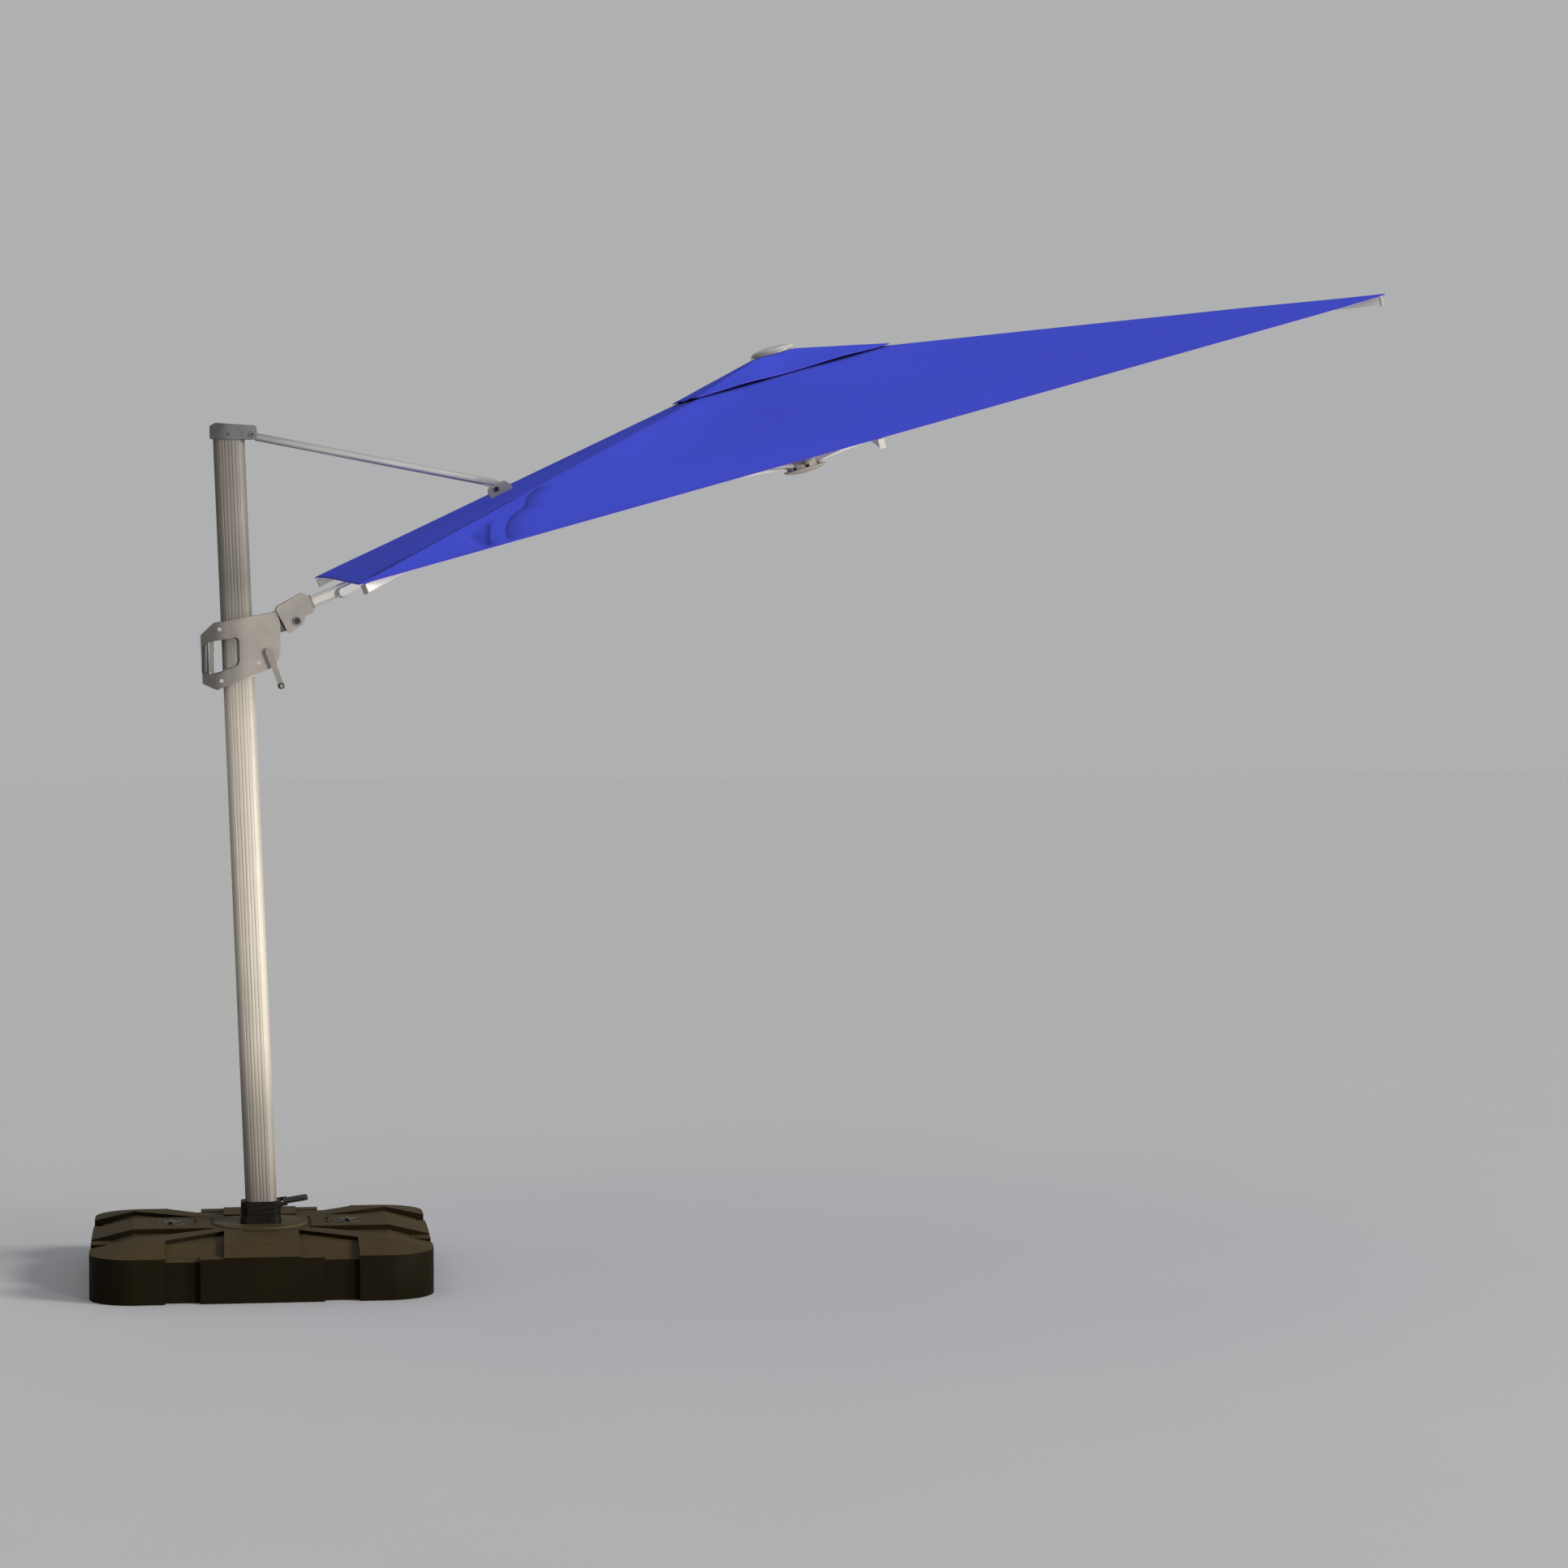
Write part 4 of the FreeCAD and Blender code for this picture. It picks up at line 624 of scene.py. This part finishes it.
def ring_point(q, theta):
    c, s = np.cos(theta), np.sin(theta)
    rho = q / np.maximum(np.abs(c), np.abs(s))
    return rho * c, rho * s


def fold_shade(u, v):
    """Painted shade for the cloth's colour: how deep in a tuck or a seam's crease a point lies, 0 to 1."""
    au, av = np.abs(u), np.abs(v)
    hi, lo = np.maximum(au, av), np.minimum(au, av)
    out = np.zeros(np.shape(u))
    rim = np.clip((HALF - 0.004 - hi) / 0.045, 0, 1)
    for (pts, height, steep, gentle, kind, taper), depth, reach in zip(FOLDS, FOLD_DEPTH, FOLD_REACH):
        if depth == 0:
            continue
        d, at = polyline(u, v, pts)
        ends = np.clip(at / taper, 0, 1) * np.clip((1 - at) / taper, 0, 1) if abs(pts[-1][1]) < 1.46 else np.clip(at / taper, 0, 1)
        ends = ends * ends * (3 - 2 * ends) * rim
        if kind == "ridge":
            out = np.maximum(out, depth * ends * np.exp(-((d / reach) ** 2)))
        else:
            x = d if height > 0 else -d
            onset = np.clip((x + 0.003) / 0.006, 0, 1)
            out = np.maximum(out, depth * ends * onset * (0.5 * np.exp(-np.clip(x, 0, None) / (0.4 * reach)) + 0.5 * np.exp(-np.clip(x, 0, None) / (1.5 * reach))))
    # painted shade under the vent's edge
    out = np.maximum(out, 0.92 * np.exp(-np.clip(hi - 0.303, 0, None) / 0.011) * np.clip((hi - 0.20) / 0.06, 0, 1))
    # painted shade along the corner ribs' seams, strongest over the near corner rib
    hip = (hi - lo) / math.sqrt(2)
    along = np.clip((hi - 0.975) / 0.02, 0, 1) * np.clip((HALF - 0.03 - hi) / 0.05, 0, 1)
    soft = np.clip((hi - 0.80) / 0.15, 0, 1) * np.clip((HALF - 0.03 - hi) / 0.05, 0, 1)
    near_mast = (u < 0) & (v < 0)
    out = np.maximum(out, np.where(near_mast, 0.95 * along, 0.15 * soft) * np.exp(-((hip / 0.0058) ** 2)))
    return out


def grid_object(name, u, v, top, bottom, cloth, edge, hip, mat, skip=None, normal_fn=None, fold=None):
    rows, cols = u.shape
    n = rows * cols
    keep = np.ones((rows - 1, cols - 1), bool)
    if skip is not None:
        keep &= ~skip
    co = np.vstack([can(u.ravel(), v.ravel(), top.ravel()), can(u.ravel(), v.ravel(), bottom.ravel())])
    idx = np.arange(n).reshape(rows, cols)
    faces = []
    r, c = np.nonzero(keep)
    q = np.stack([idx[r, c], idx[r, c + 1], idx[r + 1, c + 1], idx[r + 1, c]], 1)
    # which way round gives a normal along N
    p = co[q[0]]
    flip = np.dot(np.cross(p[1] - p[0], p[2] - p[0]), N) < 0
    topq = q[:, ::-1] if flip else q
    botq = (q if flip else q[:, ::-1]) + n
    faces += topq.tolist() + botq.tolist()
    # rim round every border of the kept cells
    padded = np.pad(keep, 1)
    for i in range(rows - 1):
        for j in range(cols - 1):
            if not keep[i, j]:
                continue
            for di, dj, e0, e1 in ((-1, 0, (i, j), (i, j + 1)), (1, 0, (i + 1, j + 1), (i + 1, j)), (0, -1, (i + 1, j), (i, j)), (0, 1, (i, j + 1), (i + 1, j + 1))):
                if not padded[i + 1 + di, j + 1 + dj]:
                    s, t = int(idx[e0]), int(idx[e1])
                    quad = [t, s, s + n, t + n]
                    faces.append(quad[::-1] if flip else quad)
    mesh = bpy.data.meshes.new(name)
    mesh.from_pydata(co.tolist(), [], faces)
    mesh.update()
    layers = [("cloth", cloth), ("edge", edge), ("hip", hip)]
    # the fold UV carries the painted shade of tucks and creases
    layers.append(("fold", (np.zeros(u.shape) if fold is None else fold, np.zeros(u.shape))))
    for uvname, (x, y) in layers:
        layer = mesh.uv_layers.new(name=uvname)
        vals = np.tile(np.stack([x.ravel(), y.ravel()], 1), (2, 1))
        li = np.zeros(len(mesh.loops), np.int32)
        mesh.loops.foreach_get("vertex_index", li)
        layer.data.foreach_set("uv", vals[li].astype(np.float32).ravel())
    mesh.polygons.foreach_set("use_smooth", np.ones(len(mesh.polygons), bool))
    # drop vertices that no face uses
    import bmesh
    bm = bmesh.new()
    bm.from_mesh(mesh)
    loose = [x for x in bm.verts if not x.link_faces]
    bmesh.ops.delete(bm, geom=loose, context="VERTS")
    # rim edges stay sharp
    for e in bm.edges:
        if len(e.link_faces) == 2 and e.calc_face_angle(0) > 1.0:
            e.smooth = False
    bm.to_mesh(mesh)
    bm.free()
    if normal_fn is not None:
        vn = np.zeros(len(mesh.vertices) * 3, np.float32)
        mesh.vertices.foreach_get("co", vn)
        pts = vn.reshape(-1, 3).astype(float) - CC
        uu, vv, tt = pts @ U, pts @ W, pts @ N
        h = 0.0015
        gu = (normal_fn(uu + h, vv) - normal_fn(uu - h, vv)) / (2 * h)
        gv = (normal_fn(uu, vv + h) - normal_fn(uu, vv - h)) / (2 * h)
        nn = -np.outer(gu, U) - np.outer(gv, W) + N
        nn /= np.linalg.norm(nn, axis=1)[:, None]
        mid = normal_fn(uu, vv) - 0.0005
        loops = np.zeros(len(mesh.loops), np.int32)
        mesh.loops.foreach_get("vertex_index", loops)
        pn = np.zeros(len(mesh.polygons) * 3, np.float32)
        mesh.polygons.foreach_get("normal", pn)
        pn = pn.reshape(-1, 3)
        lp = np.zeros(len(mesh.polygons), np.int32)
        mesh.polygons.foreach_get("loop_total", lp)
        poly_of_loop = np.repeat(np.arange(len(mesh.polygons)), lp)
        face_n = pn[poly_of_loop]
        side = face_n @ N
        out = nn[loops] * np.sign(side)[:, None]
        rim = np.abs(side) < 0.6
        out[rim] = face_n[rim]
        mesh.normals_split_custom_set(out.tolist())
    o = bpy.data.objects.new(name, mesh)
    bpy.context.scene.collection.objects.link(o)
    mesh.materials.append(mat)
    return o


CLOTH_T = 0.0009


def gore(az, half=None):
    """One eighth of the canopy, round the rib at az; half is -1 or 1 for one side of the mast-side eighth."""
    nm = GORES[az]
    fine = nm in ("near_mast", "near", "mast")
    a0, a1 = az - 22.5, az + 22.5
    if half is not None:
        a0, a1 = (az, az + 22.5) if half > 0 else (az - 22.5, az)
    def span(a, b, n):
        n = n
        return np.linspace(a, b, n + 1)

    hips = np.array([0.04, 0.09, 0.15, 0.22, 0.32, 0.45])
    if nm == "near_mast":
        th = np.concatenate([span(a0, 223.5, 26), 225 - hips, [225.0], 225 + hips, span(225.8, 236.5, 96), span(236.5, a1, 22)])
        q = np.concatenate([span(HOLE, 0.86, 44), span(0.86, HALF - 0.026, 150)])
    elif half is not None:
        th = np.concatenate([span(a0, a1, 56), 180 + half * np.array([0.05, 0.12, 0.25, 0.5])])
        q = np.concatenate([span(HOLE, 0.84, 40), span(0.84, 1.04, 60), span(1.04, HALF - 0.026, 60)])
    else:
        th = span(a0, a1, 64)
        if az % 90:
            th = np.concatenate([th, az - hips, [float(az)], az + hips])
        q = span(HOLE, HALF - 0.026, 120)
    th = np.radians(np.unique(np.round(th, 6)))
    q = np.unique(np.round(np.concatenate([q, [HALF - 0.022, HALF - 0.018, HALF - 0.012, HALF - 0.008, HALF - 0.004, HALF - 0.0015, HALF]]), 7))
    qq, tt = np.meshgrid(q, th, indexing="ij")
    u, v = ring_point(qq, tt)
    top = cloth_height(u, v)
    # the turned hem is double; a closed lap seam runs over each corner rib and down the mast side
    extra = np.where(qq > HALF - 0.0225, 0.0009, 0.0)
    bottom = top - CLOTH_T - extra
    au, av = np.abs(u), np.abs(v)
    hi, lo = np.maximum(au, av), np.minimum(au, av)
    hipd = (hi - lo) / math.sqrt(2)
    hipalong = (hi + lo) / math.sqrt(2)
    if nm == "mast":
        hipd, hipalong = np.abs(v), np.abs(u)
    cloth = (u, v)
    edge = (HALF - hi, lo)
    skip = None
    if half is not None:
        # the two halves stand apart for the stay's bracket and close up again towards both ends of the slit
        c0 = np.clip((-u - 0.868) / 0.012, 0, 1) * np.clip((1.012 + u) / 0.012, 0, 1)
        v = v - half * 0.0165 * c0 * c0 * (3 - 2 * c0) * np.exp(-np.abs(v) / 0.03)
    return nm, u, v, top, bottom, cloth, edge, (hipd, hipalong), skip


for az, nm in GORES.items():
    halves = (None,) if nm != "mast" else (1, -1)
    for h in halves:
        _, u, v, top, bottom, cloth, edge, hip, skip = gore(az, h)
        label = "canopy_" + nm + ("" if h is None else ("_a" if h > 0 else "_b"))
        # painted shade of tucks, creases and the vent's edge goes into the fold UV
        o = grid_object(label, u, v, top, bottom, cloth, edge, hip, M["fabric"], skip, cloth_height, fold_shade(*cloth))
        anchor = CC.copy()
        if h is not None:
            anchor = CC + W * (-h) * 0.034
        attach(o, "rib_" + nm)
        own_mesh(o)
        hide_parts("canopy_cover")
        width = 2 * HALF * math.tan(math.radians(22.5)) if az % 90 == 0 else 2 * HALF / math.cos(math.radians(45)) * math.sin(math.radians(22.5)) * math.sqrt(2) / 1.08
        cell = 0.0
        if h is not None:
            width = width / 2


# ------------------------------------------------------------------ vent flap
VENT = 0.307


def vent_height(u, v):
    au, av = np.abs(u), np.abs(v)
    e = 0.0030
    q = 0.5 * (au + av + np.sqrt((au - av) ** 2 + e * e))
    hi, lo = np.maximum(au, av), np.minimum(au, av)
    q = np.minimum(q, VENT)
    t = 0.240 + (VENT - q) * (0.303 - 0.240) / (VENT - 0.062)
    share = np.clip(lo / np.maximum(hi, 1e-6), 0, 1)
    radial = np.clip((hi - 0.062) / (VENT - 0.062), 0, 1)
    # the free edge lifts a little between the corners
    t = t + 0.0035 * np.sin(math.pi * share) ** 2 * radial ** 2 - 0.0030 * np.sin(math.pi * radial) * (1 - share)
    t = t + 0.0006 * np.sin(31 * u + 9 * v) * np.sin(27 * v - 11 * u) * radial
    lip = np.clip((hi - (VENT - 0.006)) / 0.006, 0, 1)
    return t - 0.0022 * lip * lip


for az, nm in GORES.items():
    cols = 44
    th = np.radians(np.linspace(az - 22.5, az + 22.5, cols + 1))
    q = np.concatenate([np.linspace(0.062, VENT - 0.018, 40), [VENT - 0.014, VENT - 0.010, VENT - 0.006, VENT - 0.003, VENT - 0.001, VENT]])
    qq, tt = np.meshgrid(q, th, indexing="ij")
    u, v = ring_point(qq, tt)
    top = vent_height(u, v)
    bottom = top - CLOTH_T - np.where(qq > VENT - 0.0145, 0.0009, 0.0)
    au, av = np.abs(u), np.abs(v)
    hi, lo = np.maximum(au, av), np.minimum(au, av)
    o = grid_object("vent_" + nm, u, v, top, bottom, (u, v), (VENT - hi + 0.0025, lo), ((hi - lo) / math.sqrt(2), (hi + lo) / math.sqrt(2)), M["fabric"], None, vent_height)
    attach(o, "rib_" + nm)
    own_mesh(o)
    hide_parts("vent_flap")

# ------------------------------------------------------------------ stage, light, camera
scene = bpy.context.scene
bpy.ops.mesh.primitive_plane_add(size=60, location=(0, 0, -0.001))
floor = bpy.context.object
floor.name = "floor"
fm, fnt, fb, fout = material("floor_pale", (0.8, 0.8, 0.78))
fp = object_vec(fnt)
fc = mix(fnt, remap(fnt, noise(fnt, fp, 1.2, 5.0), 0.3, 0.7, 0, 1), (0.498, 0.500, 0.503), (0.506, 0.508, 0.511))
link(fnt, fc, fb.inputs["Base Color"])
fb.inputs["Roughness"].default_value = 0.85
floor.data.materials.append(fm)

world = bpy.data.worlds.new("studio")
world.use_nodes = True
wn = world.node_tree
wn.nodes.clear()
wo = wn.nodes.new("ShaderNodeOutputWorld")
bg = wn.nodes.new("ShaderNodeBackground")
bg.inputs[0].default_value = (0.785, 0.79, 0.80, 1)
bg.inputs[1].default_value = 0.55
wn.links.new(bg.outputs[0], wo.inputs[0])
scene.world = world


def area_light(name, loc, target, size, power, col):
    d = bpy.data.lights.new(name, "AREA")
    d.shape = "RECTANGLE"
    d.size, d.size_y = size
    d.energy = power
    d.color = col
    o = bpy.data.objects.new(name, d)
    scene.collection.objects.link(o)
    o.location = loc
    o.rotation_mode = "QUATERNION"
    o.rotation_quaternion = (Vector(target) - Vector(loc)).to_track_quat("-Z", "Y")
    o.visible_camera = False
    return o


def sun(name, toward, strength, angle, col):
    d = bpy.data.lights.new(name, "SUN")
    d.energy = strength
    d.angle = math.radians(angle)
    d.color = col
    o = bpy.data.objects.new(name, d)
    scene.collection.objects.link(o)
    o.rotation_mode = "QUATERNION"
    o.rotation_quaternion = (-Vector(toward)).to_track_quat("-Z", "Y")
    return o


sun("key", (0.83, -0.52, 0.44), 2.4, 16.0, (1.0, 0.97, 0.92))
sun("front", (0.50, -0.86, 0.10), 2.2, 14.0, (1.0, 0.98, 0.95))
area_light("side_strip", (8.5, -3.5, 3.0), (0.0, 0.0, 1.5), (3.0, 5.0), 85, (1.0, 0.97, 0.93))
area_light("fill", (-9.0, -9.0, 4.0), (0.5, 0, 1.5), (5.0, 5.0), 60, (0.92, 0.95, 1.0))

cam_data = bpy.data.cameras.new("camera")
cam_data.sensor_width = 36.0
cam_data.lens = 5435.97 * 36.0 / 1932.0
cam_data.clip_end = 200
cam = bpy.data.objects.new("camera", cam_data)
scene.collection.objects.link(cam)
cam.location = (-0.3709, -13.6144, 2.2188)
cam.rotation_euler = (math.radians(90 - 2.9669), 0.0, math.radians(-8.3683))
scene.camera = cam
scene.view_settings.view_transform = "Standard"
